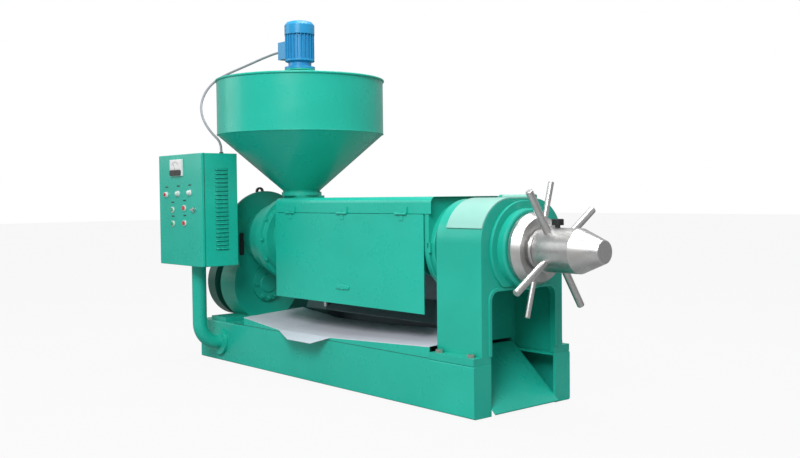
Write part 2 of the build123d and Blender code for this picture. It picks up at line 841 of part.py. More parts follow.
# Main bearing housing on the front of the gear case
with BuildPart() as main_bearing_housing:
    revolve(turned_outline([
        (case_end, main_bearing_radius + 8), (case_end, housing_radius), (housing_step, housing_radius),
        (housing_step, housing_step_radius - 6), (housing_step + 6, housing_step_radius),
        (housing_disc_start, housing_step_radius), (housing_disc_start, housing_disc_radius - 8),
        (housing_disc_start + 8, housing_disc_radius), (housing_end - housing_land, housing_disc_radius),
        (housing_end - housing_land, feed_flange_radius), (housing_end, feed_flange_radius),
        (housing_end, spindle_radius + 4), (housing_end - 60, spindle_radius + 4),
        (housing_end - 60, main_bearing_radius + journal_clearance),
        (case_end + 8, main_bearing_radius + journal_clearance), (case_end + 8, main_bearing_radius + 8),
    ], 0, axis_height), axis=turning(0, axis_height))
save(main_bearing_housing.part, "main_bearing_housing")

# Gear case, split at the height of the flange
dome_outline = [
    (case_end, dome_rim_radius), (case_end - dome_rim_width, dome_rim_radius),
    (case_end - dome_rim_width - 4, 275), (-1098, 260), (-1135, 246), (-1166, 222), (case_start, 200),
]
dome_inside = [(case_start + case_wall, 205), (-1135, 233), (case_end - case_wall, 256)]


def case_section(plane, main, layshaft, drive, bottom):
    """Outline of the lower case across the machine: three round lobes on a foot."""
    with BuildSketch(plane) as section:
        for y, z, radius in ((0, axis_height, main), (layshaft_y, layshaft_z, layshaft), (0, input_z, drive)):
            with Locations((y, z)):
                Circle(radius)
        with Locations((0, (bottom + case_split) / 2)):
            Rectangle(2 * (drive + layshaft_y + layshaft), case_split - bottom, mode=Mode.INTERSECT)
    return section.sketch


inner_depth = case_end - case_start - 2 * case_wall
with BuildPart() as gear_case_lower:
    extrude(case_section(across(case_start), case_radius, layshaft_lobe_radius, input_lobe_radius, base_height),
            amount=case_end - case_start)
    with BuildSketch(Plane.XY.offset(base_height)):
        with Locations(((case_start + case_end) / 2, 0)):
            Rectangle(case_end - case_start, 2 * case_foot_reach)
    extrude(amount=case_foot_height)
    with BuildSketch(Plane.XY.offset(case_split - case_flange)):
        with Locations(((case_start + case_end) / 2, 0)):
            Rectangle(case_end - case_start, 2 * (case_radius + case_flange_reach))
    extrude(amount=case_flange)
    extrude(case_section(across(case_start + case_wall), case_radius - case_skin,
                         layshaft_lobe_radius - case_skin, input_lobe_radius - case_skin,
                         base_height + case_foot_height), amount=inner_depth, mode=Mode.SUBTRACT)
    for start in (case_start + case_wall, case_end - bearing_boss_length):
        with BuildSketch(across(start)):
            with Locations((0, axis_height)):
                Circle(main_bearing_radius + bearing_boss_wall)
            with Locations((layshaft_y, layshaft_z), (0, input_z)):
                Circle(small_bearing_radius + bearing_boss_wall)
            with Locations((0, case_split - case_radius)):
                Rectangle(4 * case_radius, 2 * case_radius, mode=Mode.INTERSECT)
        extrude(amount=bearing_boss_length - case_wall)
    with BuildSketch(across(case_start)):
        with Locations((layshaft_y, layshaft_z), (0, input_z)):
            Circle(small_bearing_radius)
    extrude(amount=case_end - case_start, mode=Mode.SUBTRACT)
    with BuildSketch(across(case_start)):
        with Locations((0, axis_height)):
            Circle(back_bearing_radius)
    extrude(amount=bearing_boss_length, mode=Mode.SUBTRACT)
    with BuildSketch(across(case_end - bearing_boss_length)):
        with Locations((0, axis_height)):
            Circle(main_bearing_radius)
    extrude(amount=bearing_boss_length, mode=Mode.SUBTRACT)
save(gear_case_lower.part, "gear_case_lower")

with BuildPart() as gear_case_upper:
    revolve(turned_outline(dome_outline + [(case_start, 0), (case_end, 0)], 0, axis_height),
            axis=turning(0, axis_height))
    revolve(turned_outline(dome_inside + [(case_end - case_wall, 0), (case_start + case_wall, 0)], 0, axis_height),
            axis=turning(0, axis_height), mode=Mode.SUBTRACT)
    for start in (case_start + case_wall, case_end - bearing_boss_length):
        with BuildSketch(across(start)):
            with Locations((0, axis_height)):
                Circle(main_bearing_radius + bearing_boss_wall)
        extrude(amount=bearing_boss_length - case_wall)
    with BuildSketch(Plane.XY.offset(case_split)):
        with Locations(((case_start + case_end) / 2, 0)):
            Rectangle(case_end - case_start, 2 * (case_radius + case_flange_reach))
            Rectangle(inner_depth, 2 * (case_radius - case_skin), mode=Mode.SUBTRACT)
    extrude(amount=case_flange)
    with BuildSketch(across(case_start)):
        with Locations((0, axis_height)):
            Circle(back_bearing_radius)
    extrude(amount=bearing_boss_length, mode=Mode.SUBTRACT)
    with BuildSketch(across(case_end - bearing_boss_length)):
        with Locations((0, axis_height)):
            Circle(main_bearing_radius)
    extrude(amount=bearing_boss_length, mode=Mode.SUBTRACT)
    with BuildSketch(across(case_start)):
        with Locations((0, case_split - 2 * case_radius)):
            Rectangle(4 * case_radius, 4 * case_radius)
    extrude(amount=case_end - case_start, mode=Mode.SUBTRACT)
save(gear_case_upper.part, "gear_case_upper")

eye_x = case_end - 77
eye_seat = axis_height + 258
with BuildPart() as lifting_eye:
    extrude(rod_sketch((eye_x, 0, eye_seat), (0, 0, 1), 20), amount=26)
    with BuildSketch(across(eye_x - 8, 0, eye_seat + 46)):
        Circle(28)
        Circle(15, mode=Mode.SUBTRACT)
    extrude(amount=16)
    revolve(turned_outline(dome_outline + [(case_start, 0), (case_end, 0)], 0, axis_height),
            axis=turning(0, axis_height), mode=Mode.SUBTRACT)
save(lifting_eye.part, "lifting_eye")

with BuildPart() as lower_bearing_cover:
    with BuildSketch(across(case_end, 0, input_z)):
        Circle(lower_cover_radius)
        with Locations((0, axis_height - input_z)):
            Circle(housing_radius + seat_gap, mode=Mode.SUBTRACT)
    extrude(amount=lower_cover_thickness)
    with BuildSketch(across(case_end + lower_cover_thickness, 0, input_z)):
        Circle(small_bearing_radius)
    extrude(amount=6)
    fillet(lower_bearing_cover.faces().sort_by(Axis.X)[-1].edges(), 4)
save(lower_bearing_cover.part, "lower_bearing_cover")

# Gears and shafts
to_layshaft = degrees(acos((layshaft_y) / main_pitch_distance))
bull_to_layshaft = -to_layshaft
layshaft_to_bull = bull_to_layshaft + 180
layshaft_to_input = 180 + degrees(acos(layshaft_y / input_pitch_distance))
input_to_layshaft = layshaft_to_input - 180

with BuildPart() as bull_gear:
    extrude(gear_outline(bull_teeth, wheel_addendum, bull_to_layshaft, across(bull_gear_start, 0, axis_height)),
            amount=bull_gear_width)
    with BuildSketch(across(bull_gear_start, 0, axis_height)):
        Circle(spindle_radius + journal_clearance)
    extrude(amount=bull_gear_width, mode=Mode.SUBTRACT)
save(bull_gear.part, "bull_gear")

layshaft_radius = 34
with BuildPart() as layshaft:
    extrude(rod_sketch((case_start + 2, layshaft_y, layshaft_z), (1, 0, 0), layshaft_radius),
            amount=case_end - case_start - 4)
    extrude(gear_outline(layshaft_pinion_teeth, pinion_addendum,
                         layshaft_to_bull + 180 / layshaft_pinion_teeth,
                         across(bull_gear_start, layshaft_y, layshaft_z)), amount=bull_gear_width)
save(layshaft.part, "layshaft")

with BuildPart() as layshaft_gear:
    extrude(gear_outline(layshaft_gear_teeth, wheel_addendum, layshaft_to_input,
                         across(layshaft_gear_start, layshaft_y, layshaft_z)), amount=layshaft_gear_width)
    with BuildSketch(across(layshaft_gear_start, layshaft_y, layshaft_z)):
        Circle(layshaft_radius)
    extrude(amount=layshaft_gear_width, mode=Mode.SUBTRACT)
save(layshaft_gear.part, "layshaft_gear")

with BuildPart() as input_shaft:
    extrude(rod_sketch((pulley_start - 4, 0, input_z), (1, 0, 0), input_shaft_radius),
            amount=case_end - 2 - pulley_start + 4)
    extrude(gear_outline(input_pinion_teeth, pinion_addendum, input_to_layshaft + 180 / input_pinion_teeth,
                         across(layshaft_gear_start, 0, input_z)), amount=layshaft_gear_width)
save(input_shaft.part, "input_shaft")

# Rolling bearings as plain rings in the walls of the case and in the main housing
bearing_width = bearing_boss_length - 4
bearing_seats = [
    (case_start + 2, 0, axis_height, back_bearing_radius, back_journal_radius),
    (main_bearing_start, 0, axis_height, main_bearing_radius, spindle_radius),
    (housing_disc_start - 40, 0, axis_height, main_bearing_radius, spindle_radius),
]
for start in (case_start + 2, case_end - bearing_boss_length + 2):
    bearing_seats.append((start, layshaft_y, layshaft_z, small_bearing_radius, layshaft_radius))
    bearing_seats.append((start, 0, input_z, small_bearing_radius, input_shaft_radius))
with BuildPart() as shaft_bearings:
    for start, y, z, outer, inner in bearing_seats:
        with BuildSketch(across(start, y, z)):
            Circle(outer - journal_clearance)
            Circle(inner + journal_clearance, mode=Mode.SUBTRACT)
        extrude(amount=bearing_width)
save(shaft_bearings.part, "shaft_bearings")


def pulley_outline(radius, bore, y, z):
    """Belt pulley in section: a rim with one groove for each belt."""
    groove_foot = radius - groove_depth
    points = [(pulley_start, bore), (pulley_start, radius)]
    for number in range(belt_count):
        middle = pulley_start + pulley_width / 2 + (number - (belt_count - 1) / 2) * belt_pitch
        points += [(middle - belt_width / 2 - 2, radius), (middle - belt_width / 2 - seat_gap, groove_foot),
                   (middle + belt_width / 2 + seat_gap, groove_foot), (middle + belt_width / 2 + 2, radius)]
    points += [(pulley_start + pulley_width, radius), (pulley_start + pulley_width, bore)]
    return turned_outline(points, y, z)


with BuildPart() as input_pulley:
    revolve(pulley_outline(input_pulley_radius, input_shaft_radius, 0, input_z), axis=turning(0, input_z))
save(input_pulley.part, "input_pulley")

with BuildPart() as motor_pulley:
    revolve(pulley_outline(motor_pulley_radius, motor_shaft_radius, motor_y, motor_z),
            axis=turning(motor_y, motor_z))
save(motor_pulley.part, "motor_pulley")

with BuildPart() as v_belts:
    for number in range(belt_count):
        middle = pulley_start + pulley_width / 2 + (number - (belt_count - 1) / 2) * belt_pitch
        with BuildSketch(across(middle - belt_width / 2)):
            add(belt_line(seat_gap - groove_depth + belt_height))
            add(belt_line(seat_gap - groove_depth), mode=Mode.SUBTRACT)
        extrude(amount=belt_width)
save(v_belts.part, "v_belts")

# Belt guard: a closed sheet box round both pulleys, fixed to the end of the base
guard_depth = -half_length - guard_start
with BuildPart() as belt_guard:
    with BuildSketch(across(guard_start)):
        add(belt_line(guard_input_radius - input_pulley_radius))
    extrude(amount=guard_depth)
    with BuildSketch(across(guard_start + guard_sheet)):
        add(belt_line(guard_input_radius - input_pulley_radius - guard_sheet))
    extrude(amount=guard_depth - 2 * guard_sheet, mode=Mode.SUBTRACT)
    with BuildSketch(across(-half_length - guard_sheet)):
        with Locations((0, input_z)):
            Circle(input_shaft_radius + 10)
        with Locations((motor_y, motor_z)):
            Circle(motor_shaft_radius + 10)
    extrude(amount=guard_sheet, mode=Mode.SUBTRACT)
save(belt_guard.part, "belt_guard")

# Main motor on its slide rails behind the machine
with BuildPart() as main_motor:
    revolve(turned_outline([
        (motor_start, motor_shaft_radius + seat_gap), (motor_start, 70), (motor_start + 18, 78),
        (motor_start + 26, motor_radius), (motor_start + 50, motor_radius), (motor_start + 50, motor_core),
        (motor_end - motor_cowl_length, motor_core), (motor_end - motor_cowl_length, motor_radius + 4),
        (motor_end - 14, motor_radius + 4), (motor_end, motor_radius - 10), (motor_end, 0),
        (motor_end - motor_cowl_length, 0), (motor_end - motor_cowl_length, motor_shaft_radius + seat_gap),
    ], motor_y, motor_z), axis=turning(motor_y, motor_z))
    with BuildSketch(across(motor_start + 50, motor_y, motor_z)):
        with PolarLocations(motor_core + (motor_radius - motor_core) / 2 - 1, motor_fins):
            Rectangle(motor_radius - motor_core + 2, 5)
    extrude(amount=motor_end - motor_cowl_length - motor_start - 50)
    for place in slide_rail_places:
        with BuildSketch(across(place - slide_rail_width / 2)):
            with BuildLine():
                Polyline(
                    (motor_y - 150, slide_rail_height), (motor_y + 150, slide_rail_height),
                    (motor_y + 150, slide_rail_height + motor_foot_height),
                    (motor_y + 110, slide_rail_height + motor_foot_height),
                    (motor_y + 80, slide_rail_height + 70), (motor_y - 80, slide_rail_height + 70),
                    (motor_y - 110, slide_rail_height + motor_foot_height),
                    (motor_y - 150, slide_rail_height + motor_foot_height), close=True)
            make_face()
        extrude(amount=slide_rail_width)
    with BuildSketch(Plane.XY.offset(motor_z + motor_core - 10)):
        with Locations((motor_start + 130, motor_y)):
            Rectangle(120, 110)
    extrude(amount=75)
save(main_motor.part, "main_motor")

with BuildPart() as motor_shaft:
    extrude(rod_sketch((pulley_start - 2, motor_y, motor_z), (1, 0, 0), motor_shaft_radius),
            amount=motor_end - motor_cowl_length - 4 - pulley_start)
save(motor_shaft.part, "motor_shaft")

with BuildPart() as motor_slide_rails:
    for place in slide_rail_places:
        with BuildSketch(lengthwise(slide_rail_end)):
            with Locations((place, slide_rail_height / 2)):
                Rectangle(slide_rail_width, slide_rail_height)
            with Locations((place, slide_rail_height / 2 - 8)):
                Rectangle(slide_rail_width - 20, slide_rail_height - 16, mode=Mode.SUBTRACT)
        extrude(amount=slide_rail_end - half_width)
save(motor_slide_rails.part, "motor_slide_rails")

# Oil tray: a shallow V of folded sheet that falls to the spout over the front rail
tray_direction = Vector(0, tray_depth, tray_rise)
tray_edge = [(tray_start, tray_left_edge), (spout_left, spout_left_edge), (spout_right, spout_right_edge),
             (column_start - seat_gap, tray_right_edge)]
with BuildPart() as oil_tray:
    with BuildSketch(lengthwise(-half_width)) as tray_profile:
        with BuildLine():
            Polyline(*tray_edge, *[(x, z - tray_thickness) for x, z in reversed(tray_edge)], close=True)
        make_face()
    extrude(amount=tray_direction.length, dir=tray_direction.normalized())
    with BuildSketch(lengthwise(-half_width)):
        with BuildLine():
            Polyline(
                (spout_left, spout_left_edge), (spout_right, spout_right_edge),
                (spout_right, spout_right_edge - tray_thickness),
                (spout_left, spout_left_edge - tray_thickness), close=True)
        make_face()
    with BuildSketch(lengthwise(-half_width - spout_reach)):
        with BuildLine():
            Polyline(
                (spout_lip_left, spout_lip_z), (spout_lip_right, spout_lip_z),
                (spout_lip_right, spout_lip_z - tray_thickness),
                (spout_lip_left, spout_lip_z - tray_thickness), close=True)
        make_face()
    loft(ruled=True)
save(oil_tray.part, "oil_tray")

# Plate behind the cage: upright on the rear rail, with a slope down to the tray
tray_back_y = -half_width + tray_depth
tray_back_z = tray_right_edge + tray_rise
with BuildPart() as rear_deflector:
    with BuildSketch(across(deflector_start)):
        with BuildLine():
            Polyline(
                (tray_back_y + seat_gap, tray_back_z), (deflector_y, deflector_knee),
                (deflector_y, deflector_top), (deflector_y + deflector_thickness, deflector_top),
                (deflector_y + deflector_thickness, base_height), (deflector_y, base_height),
                (deflector_y, deflector_knee - 4), (tray_back_y + seat_gap, tray_back_z - 4), close=True)
        make_face()
    extrude(amount=column_start - seat_gap - deflector_start)
save(rear_deflector.part, "rear_deflector")

drip_x = cage_start + rib_step + cage_rib_width / 2
with BuildPart() as drip_pipe:
    drip_seat = axis_height - sqrt(cage_radius**2 - (drip_radius - drip_y)**2)
    extrude(rod_sketch((drip_x, drip_y, drip_end), (0, 0, 1), drip_radius), amount=drip_seat - drip_end)
    with BuildSketch(across(cage_start, 0, axis_height)):
        Circle(cage_radius)
    extrude(amount=cage_end - cage_start, mode=Mode.SUBTRACT)
    extrude(rod_sketch((drip_x, drip_y, drip_end), (0, 0, 1), drip_radius - drip_wall),
            amount=axis_height - cage_radius - drip_end - drip_wall, mode=Mode.SUBTRACT)
save(drip_pipe.part, "drip_pipe")

# Cover over the cage: back, top, left end and the fixed strip above the door
with BuildPart() as cover_shell:
    with BuildSketch(across(cover_start)) as cover_section:
        with Locations((0, (cover_bottom + cover_top) / 2)):
            Rectangle(2 * cover_front, cover_top - cover_bottom)
        fillet(cover_section.vertices().group_by(Axis.Y)[-1], cover_edge_radius)
    extrude(amount=cover_strip_end - cover_start)
    with BuildSketch(across(cover_start + cover_sheet)) as cover_inside:
        with Locations((0, (cover_bottom + cover_top - cover_sheet) / 2)):
            Rectangle(2 * (cover_front - cover_sheet), cover_top - cover_sheet - cover_bottom)
        fillet(cover_inside.vertices().group_by(Axis.Y)[-1], cover_edge_radius - cover_sheet)
    extrude(amount=cover_strip_end - cover_start - cover_sheet, mode=Mode.SUBTRACT)
    with BuildSketch(lengthwise()):
        with Locations(((cover_start + cover_strip_end) / 2 + 20, (cover_bottom + cover_rail_height + door_top) / 2)):
            Rectangle(cover_strip_end - cover_start, door_top - cover_bottom - cover_rail_height)
    extrude(amount=cover_front, mode=Mode.SUBTRACT)
    with BuildSketch(lengthwise(-cover_front + 40)):
        with Locations(((cover_end + cover_strip_end) / 2 + 1, cover_bottom + cover_rail_height / 2)):
            Rectangle(cover_strip_end - cover_end + 2, cover_rail_height)
    extrude(amount=40, mode=Mode.SUBTRACT)
    with BuildSketch(across(cover_start, 0, axis_height)):
        Circle(feed_housing_radius + seat_gap)
        with Locations((0, (throat_top - axis_height) / 2)):
            Rectangle(2 * throat_half_width + 2 * seat_gap, throat_top - axis_height)
    extrude(amount=cover_sheet, mode=Mode.SUBTRACT)
    with BuildSketch(Plane.XY.offset(cover_top - 2 * cover_sheet)):
        with Locations(((cover_start + throat_right) / 2, 0)):
            Rectangle(throat_right - cover_start + 2 * seat_gap, 2 * throat_half_width + 2 * seat_gap)
    extrude(amount=3 * cover_sheet, mode=Mode.SUBTRACT)
save(cover_shell.part, "cover_shell")

# Door of the cover, hung from three hinges
door_face = -cover_front - seat_gap - door_sheet
hinge_y = door_face - hinge_radius - seat_gap
hinge_z = door_top
leaf_y = door_face - hinge_leaf_thickness / 2
with BuildPart() as cover_door:
    with BuildSketch(lengthwise(-cover_front - seat_gap)):
        with Locations(((cover_start + door_right) / 2, (cover_bottom + door_top - door_gap) / 2)):
            Rectangle(door_right - cover_start, door_top - door_gap - cover_bottom)
        with Locations((latch_x, latch_z)):
            Circle(latch_stem_radius + seat_gap, mode=Mode.SUBTRACT)
    extrude(amount=door_sheet)
    for place in hinge_places:
        with BuildSketch(lengthwise(-cover_front - seat_gap - door_sheet)):
            with Locations((place, hinge_z - hinge_leaf_height / 2 - hinge_radius)):
                Rectangle(hinge_length / 3 - 1, hinge_leaf_height)
        extrude(amount=hinge_leaf_thickness)
        with BuildSketch(across(place - hinge_length / 6 + 0.5)):
            with Locations((hinge_y, hinge_z)):
                Circle(hinge_radius)
            with Locations((leaf_y, hinge_z - hinge_radius)):
                Rectangle(hinge_leaf_thickness, 2 * hinge_radius)
            with Locations((hinge_y, hinge_z)):
                Circle(hinge_pin_radius + journal_clearance, mode=Mode.SUBTRACT)
        extrude(amount=hinge_length / 3 - 1)
save(cover_door.part, "cover_door")

with BuildPart() as cover_hinges:
    for place in hinge_places:
        with BuildSketch(lengthwise(-cover_front)):
            with Locations((place, hinge_z + hinge_radius + hinge_leaf_height / 2)):
                Rectangle(hinge_length, hinge_leaf_height)
        extrude(amount=-cover_front - door_face + hinge_leaf_thickness)
        extrude(rod_sketch((place - hinge_length / 2, hinge_y, hinge_z), (1, 0, 0), hinge_pin_radius),
                amount=hinge_length)
        for side in (-1, 1):
            with BuildSketch(across(place + side * hinge_length / 3 - hinge_length / 6)):
                with Locations((hinge_y, hinge_z)):
                    Circle(hinge_radius)
                with Locations((leaf_y, hinge_z + hinge_radius)):
                    Rectangle(hinge_leaf_thickness, 2 * hinge_radius)
            extrude(amount=hinge_length / 3)
save(cover_hinges.part, "cover_hinges")

# Lever latch of the cover door: lever, stem and the cam that turns behind the lower rail
with BuildPart() as cover_latch:
    with BuildSketch(lengthwise(door_face - seat_gap)):
        with Locations((latch_x, latch_z)):
            Circle(latch_height / 2 + 4)
            SlotOverall(latch_length, latch_height)
    extrude(amount=latch_thickness)
    fillet(cover_latch.faces().sort_by(Axis.Y)[0].edges(), 2.5)
    extrude(rod_sketch((latch_x, door_face - seat_gap, latch_z), (0, 1, 0), latch_stem_radius),
            amount=door_sheet + 2 * seat_gap + cover_sheet + 5)
    with BuildSketch(lengthwise(-cover_front + cover_sheet + seat_gap + 4)):
        with Locations((latch_x + latch_cam_reach / 2 - latch_stem_radius, latch_z)):
            Rectangle(latch_cam_reach, 2 * latch_stem_radius)
    extrude(amount=4)
save(cover_latch.part, "cover_latch")

# Hopper: drum, cone and neck of one sheet, with a rolled rim
with BuildPart() as hopper:
    with BuildSketch(Plane.XZ):
        with BuildLine():
            Polyline(
                (hopper_x + throat_collar_radius, throat_top + throat_collar),
                (hopper_x + throat_collar_radius, neck_height - 2), (hopper_x + neck_radius, neck_height - 2),
                (hopper_x + neck_radius, neck_height + 4), (hopper_x + hopper_radius, hopper_shoulder),
                (hopper_x + hopper_radius, hopper_rim), (hopper_x + hopper_radius - hopper_sheet, hopper_rim),
                (hopper_x + hopper_radius - hopper_sheet, hopper_shoulder + 2),
                (hopper_x + neck_radius - hopper_sheet, neck_height + 6),
                (hopper_x + neck_radius - hopper_sheet, throat_top + throat_collar), close=True)
        make_face()
        with Locations((hopper_x + hopper_radius + 2, hopper_rim - hopper_bead_radius)):
            Circle(hopper_bead_radius)
    revolve(axis=Axis((hopper_x, 0, 0), (0, 0, 1)))
save(hopper.part, "hopper")

# Bridge across the inside of the drum, carrying the feed motor
bridge_reach = hopper_radius - hopper_sheet - seat_gap
with BuildPart() as hopper_bridge:
    with BuildSketch(across(hopper_x - bridge_reach)):
        with Locations((0, bridge_bottom + bridge_height / 2)):
            Rectangle(bridge_width, bridge_height)
        with Locations((0, bridge_bottom + bridge_height / 2 - bridge_wall)):
            Rectangle(bridge_width - 2 * bridge_wall, bridge_height, mode=Mode.SUBTRACT)
    extrude(amount=2 * bridge_reach)
    with BuildSketch(Plane.XY.offset(bridge_bottom)):
        with Locations((hopper_x, 0)):
            Circle(bridge_reach)
    extrude(amount=bridge_height, mode=Mode.INTERSECT)
    with BuildSketch(Plane.XY.offset(bridge_bottom + bridge_height)):
        with Locations((hopper_x, 0)):
            Circle(pedestal_radius)
    extrude(amount=motor_seat - bridge_bottom - bridge_height)
    with BuildSketch(Plane.XY.offset(motor_seat - motor_seat_thickness)):
        with Locations((hopper_x, 0)):
            Circle(motor_seat_radius)
    extrude(amount=motor_seat_thickness)
    with BuildSketch(Plane.XY.offset(bridge_bottom)):
        with Locations((hopper_x, 0)):
            Circle(auger_shaft_radius + seat_gap)
    extrude(amount=motor_seat - bridge_bottom, mode=Mode.SUBTRACT)
save(hopper_bridge.part, "hopper_bridge")

# Feed auger: a two-bladed screw in the neck of the hopper on a long shaft
with BuildSketch(Plane.XY.offset(auger_flight_bottom)) as blade:
    with Locations((hopper_x, 0)):
        Rectangle(2 * auger_radius, auger_blade)
        Circle(auger_shaft_radius)
auger_flight = Solid.extrude_linear_with_rotation(
    blade.sketch.faces()[0], (hopper_x, 0, auger_flight_bottom), (0, 0, auger_flight_height), 360 * auger_turns)
with BuildPart() as feed_auger:
    add(auger_flight)
    extrude(rod_sketch((hopper_x, 0, auger_bottom), (0, 0, 1), auger_shaft_radius),
            amount=motor_seat + feed_motor_flange - auger_bottom)
save(feed_auger.part, "feed_auger")

# Feed motor: flange, neck, finned body, cowl and terminal box
neck_top = motor_seat + feed_motor_flange + feed_motor_neck
terminal_root = hopper_x - feed_motor_core + 20
with BuildPart() as feed_motor:
    with BuildSketch(Plane.XZ):
        with BuildLine():
            Polyline(
                (hopper_x, motor_seat + feed_motor_flange + 2),
                (hopper_x + auger_shaft_radius + seat_gap, motor_seat + feed_motor_flange + 2),
                (hopper_x + auger_shaft_radius + seat_gap, motor_seat),
                (hopper_x + motor_seat_radius, motor_seat),
                (hopper_x + motor_seat_radius, motor_seat + feed_motor_flange),
                (hopper_x + feed_motor_neck_radius, motor_seat + feed_motor_flange + 4),
                (hopper_x + feed_motor_neck_radius, neck_top - 8),
                (hopper_x + feed_motor_radius, neck_top), (hopper_x + feed_motor_radius, neck_top + 12),
                (hopper_x + feed_motor_core, neck_top + 12),
                (hopper_x + feed_motor_core, feed_motor_body_top),
                (hopper_x + feed_motor_radius + 2, feed_motor_body_top),
                (hopper_x + feed_motor_radius + 2, feed_motor_cowl_top - 24),
                (hopper_x + feed_motor_radius - 12, feed_motor_cowl_top - 6),
                (hopper_x + feed_motor_radius - 30, feed_motor_cowl_top), (hopper_x, feed_motor_cowl_top),
                close=True)
        make_face()
    revolve(axis=Axis((hopper_x, 0, 0), (0, 0, 1)))
    with BuildSketch(Plane.XY.offset(neck_top + 12)):
        with Locations((hopper_x, 0)):
            with PolarLocations((feed_motor_core + feed_motor_radius) / 2 - 1, feed_motor_fins):
                Rectangle(feed_motor_radius - feed_motor_core + 2, 4)
    extrude(amount=feed_motor_body_top - neck_top - 12)
    with BuildSketch(Plane.XY.offset(terminal_bottom)):
        with Locations(((terminal_left + terminal_root) / 2, 0)):
            Rectangle(terminal_root - terminal_left, 2 * terminal_half_width)
    extrude(amount=terminal_top - terminal_bottom)
    fillet(feed_motor.faces().sort_by(Axis.X)[0].edges(), 6)
save(feed_motor.part, "feed_motor")

# Cabinet: folded box open at the front with a return flange, louvres on the side
cabinet_middle_x = (cabinet_left + cabinet_right) / 2
cabinet_middle_z = (cabinet_bottom + cabinet_top) / 2
cabinet_width = cabinet_right - cabinet_left
cabinet_height = cabinet_top - cabinet_bottom
shell_front = cabinet_front + cabinet_door_depth
shell_depth = cabinet_back - shell_front
gland_x = conduit_points[-1][0]
gland_y = conduit_points[-1][1]
with BuildPart() as cabinet_shell:
    with BuildSketch(lengthwise(cabinet_back)) as cabinet_outline:
        with Locations((cabinet_middle_x, cabinet_middle_z)):
            Rectangle(cabinet_width, cabinet_height)
        fillet(cabinet_outline.vertices(), 5)
    extrude(amount=shell_depth)
    with BuildSketch(lengthwise(cabinet_back - cabinet_sheet)):
        with Locations((cabinet_middle_x, cabinet_middle_z)):
            Rectangle(cabinet_width - 2 * cabinet_sheet, cabinet_height - 2 * cabinet_sheet)
    extrude(amount=shell_depth - 2 * cabinet_sheet, mode=Mode.SUBTRACT)
    with BuildSketch(lengthwise(shell_front + cabinet_sheet)):
        with Locations((cabinet_middle_x, cabinet_middle_z)):
            Rectangle(cabinet_width - 2 * cabinet_return, cabinet_height - 2 * cabinet_return)
    extrude(amount=cabinet_sheet, mode=Mode.SUBTRACT)
    louvre_step = (louvre_top - louvre_bottom) / (louvre_count - 1)
    with BuildSketch(across(cabinet_right - cabinet_sheet)):
        with Locations(((louvre_front + louvre_back) / 2, (louvre_bottom + louvre_top) / 2)):
            with GridLocations(1, louvre_step, 1, louvre_count):
                Rectangle(louvre_back - louvre_front, louvre_height)
    extrude(amount=cabinet_sheet, mode=Mode.SUBTRACT)
save(cabinet_shell.part, "cabinet_shell")

knuckle_x = cabinet_left - cabinet_knuckle_radius - cabinet_knuckle_offset
door_face_y = cabinet_front
with BuildPart() as cabinet_door:
    with BuildSketch(lengthwise(shell_front - seat_gap)) as panel:
        with Locations((cabinet_middle_x, cabinet_middle_z)):
            Rectangle(cabinet_width, cabinet_height)
        fillet(panel.vertices(), 5)
    extrude(amount=cabinet_door_depth - seat_gap)
    fillet(cabinet_door.faces().sort_by(Axis.Y)[0].edges(), 3)
    with BuildSketch(lengthwise(shell_front - seat_gap)):
        with Locations((cabinet_middle_x, cabinet_middle_z)):
            Rectangle(cabinet_width - 2 * cabinet_return, cabinet_height - 2 * cabinet_return)
    extrude(amount=cabinet_door_depth - seat_gap - cabinet_sheet, mode=Mode.SUBTRACT)
    with BuildSketch(lengthwise(cabinet_front + cabinet_door_depth)):
        for name, x, z in button_places:
            with Locations((x, z)):
                Circle(button_radius + seat_gap)
        with Locations((door_lock_x, door_lock_z)):
            Circle(latch_stem_radius + seat_gap)
    extrude(amount=cabinet_door_depth, mode=Mode.SUBTRACT)
    for place in cabinet_hinge_places:
        with BuildSketch(Plane.XY.offset(place + seat_gap)):
            with Locations((knuckle_x, shell_front)):
                Circle(cabinet_knuckle_radius)
            with Locations((knuckle_x + cabinet_knuckle_radius / 2 + 1, shell_front - cabinet_knuckle_radius / 2)):
                Rectangle(cabinet_knuckle_radius + 2, cabinet_knuckle_radius - 2)
            with Locations((knuckle_x, shell_front)):
                Circle(hinge_pin_radius + journal_clearance, mode=Mode.SUBTRACT)
        extrude(amount=cabinet_knuckle_length)
save(cabinet_door.part, "cabinet_door")

with BuildPart() as cabinet_hinges:
    for place in cabinet_hinge_places:
        with BuildSketch(Plane.XY.offset(place - cabinet_knuckle_length)):
            with Locations((knuckle_x, shell_front)):
                Circle(cabinet_knuckle_radius)
            with Locations((knuckle_x + cabinet_knuckle_offset / 2 + cabinet_knuckle_radius / 2 + 0.25,
                            shell_front + cabinet_knuckle_radius)):
                Rectangle(cabinet_knuckle_radius, 2 * cabinet_knuckle_radius)
        extrude(amount=cabinet_knuckle_length)
        extrude(rod_sketch((knuckle_x, shell_front, place), (0, 0, 1), hinge_pin_radius),
                amount=cabinet_knuckle_length)
save(cabinet_hinges.part, "cabinet_hinges")

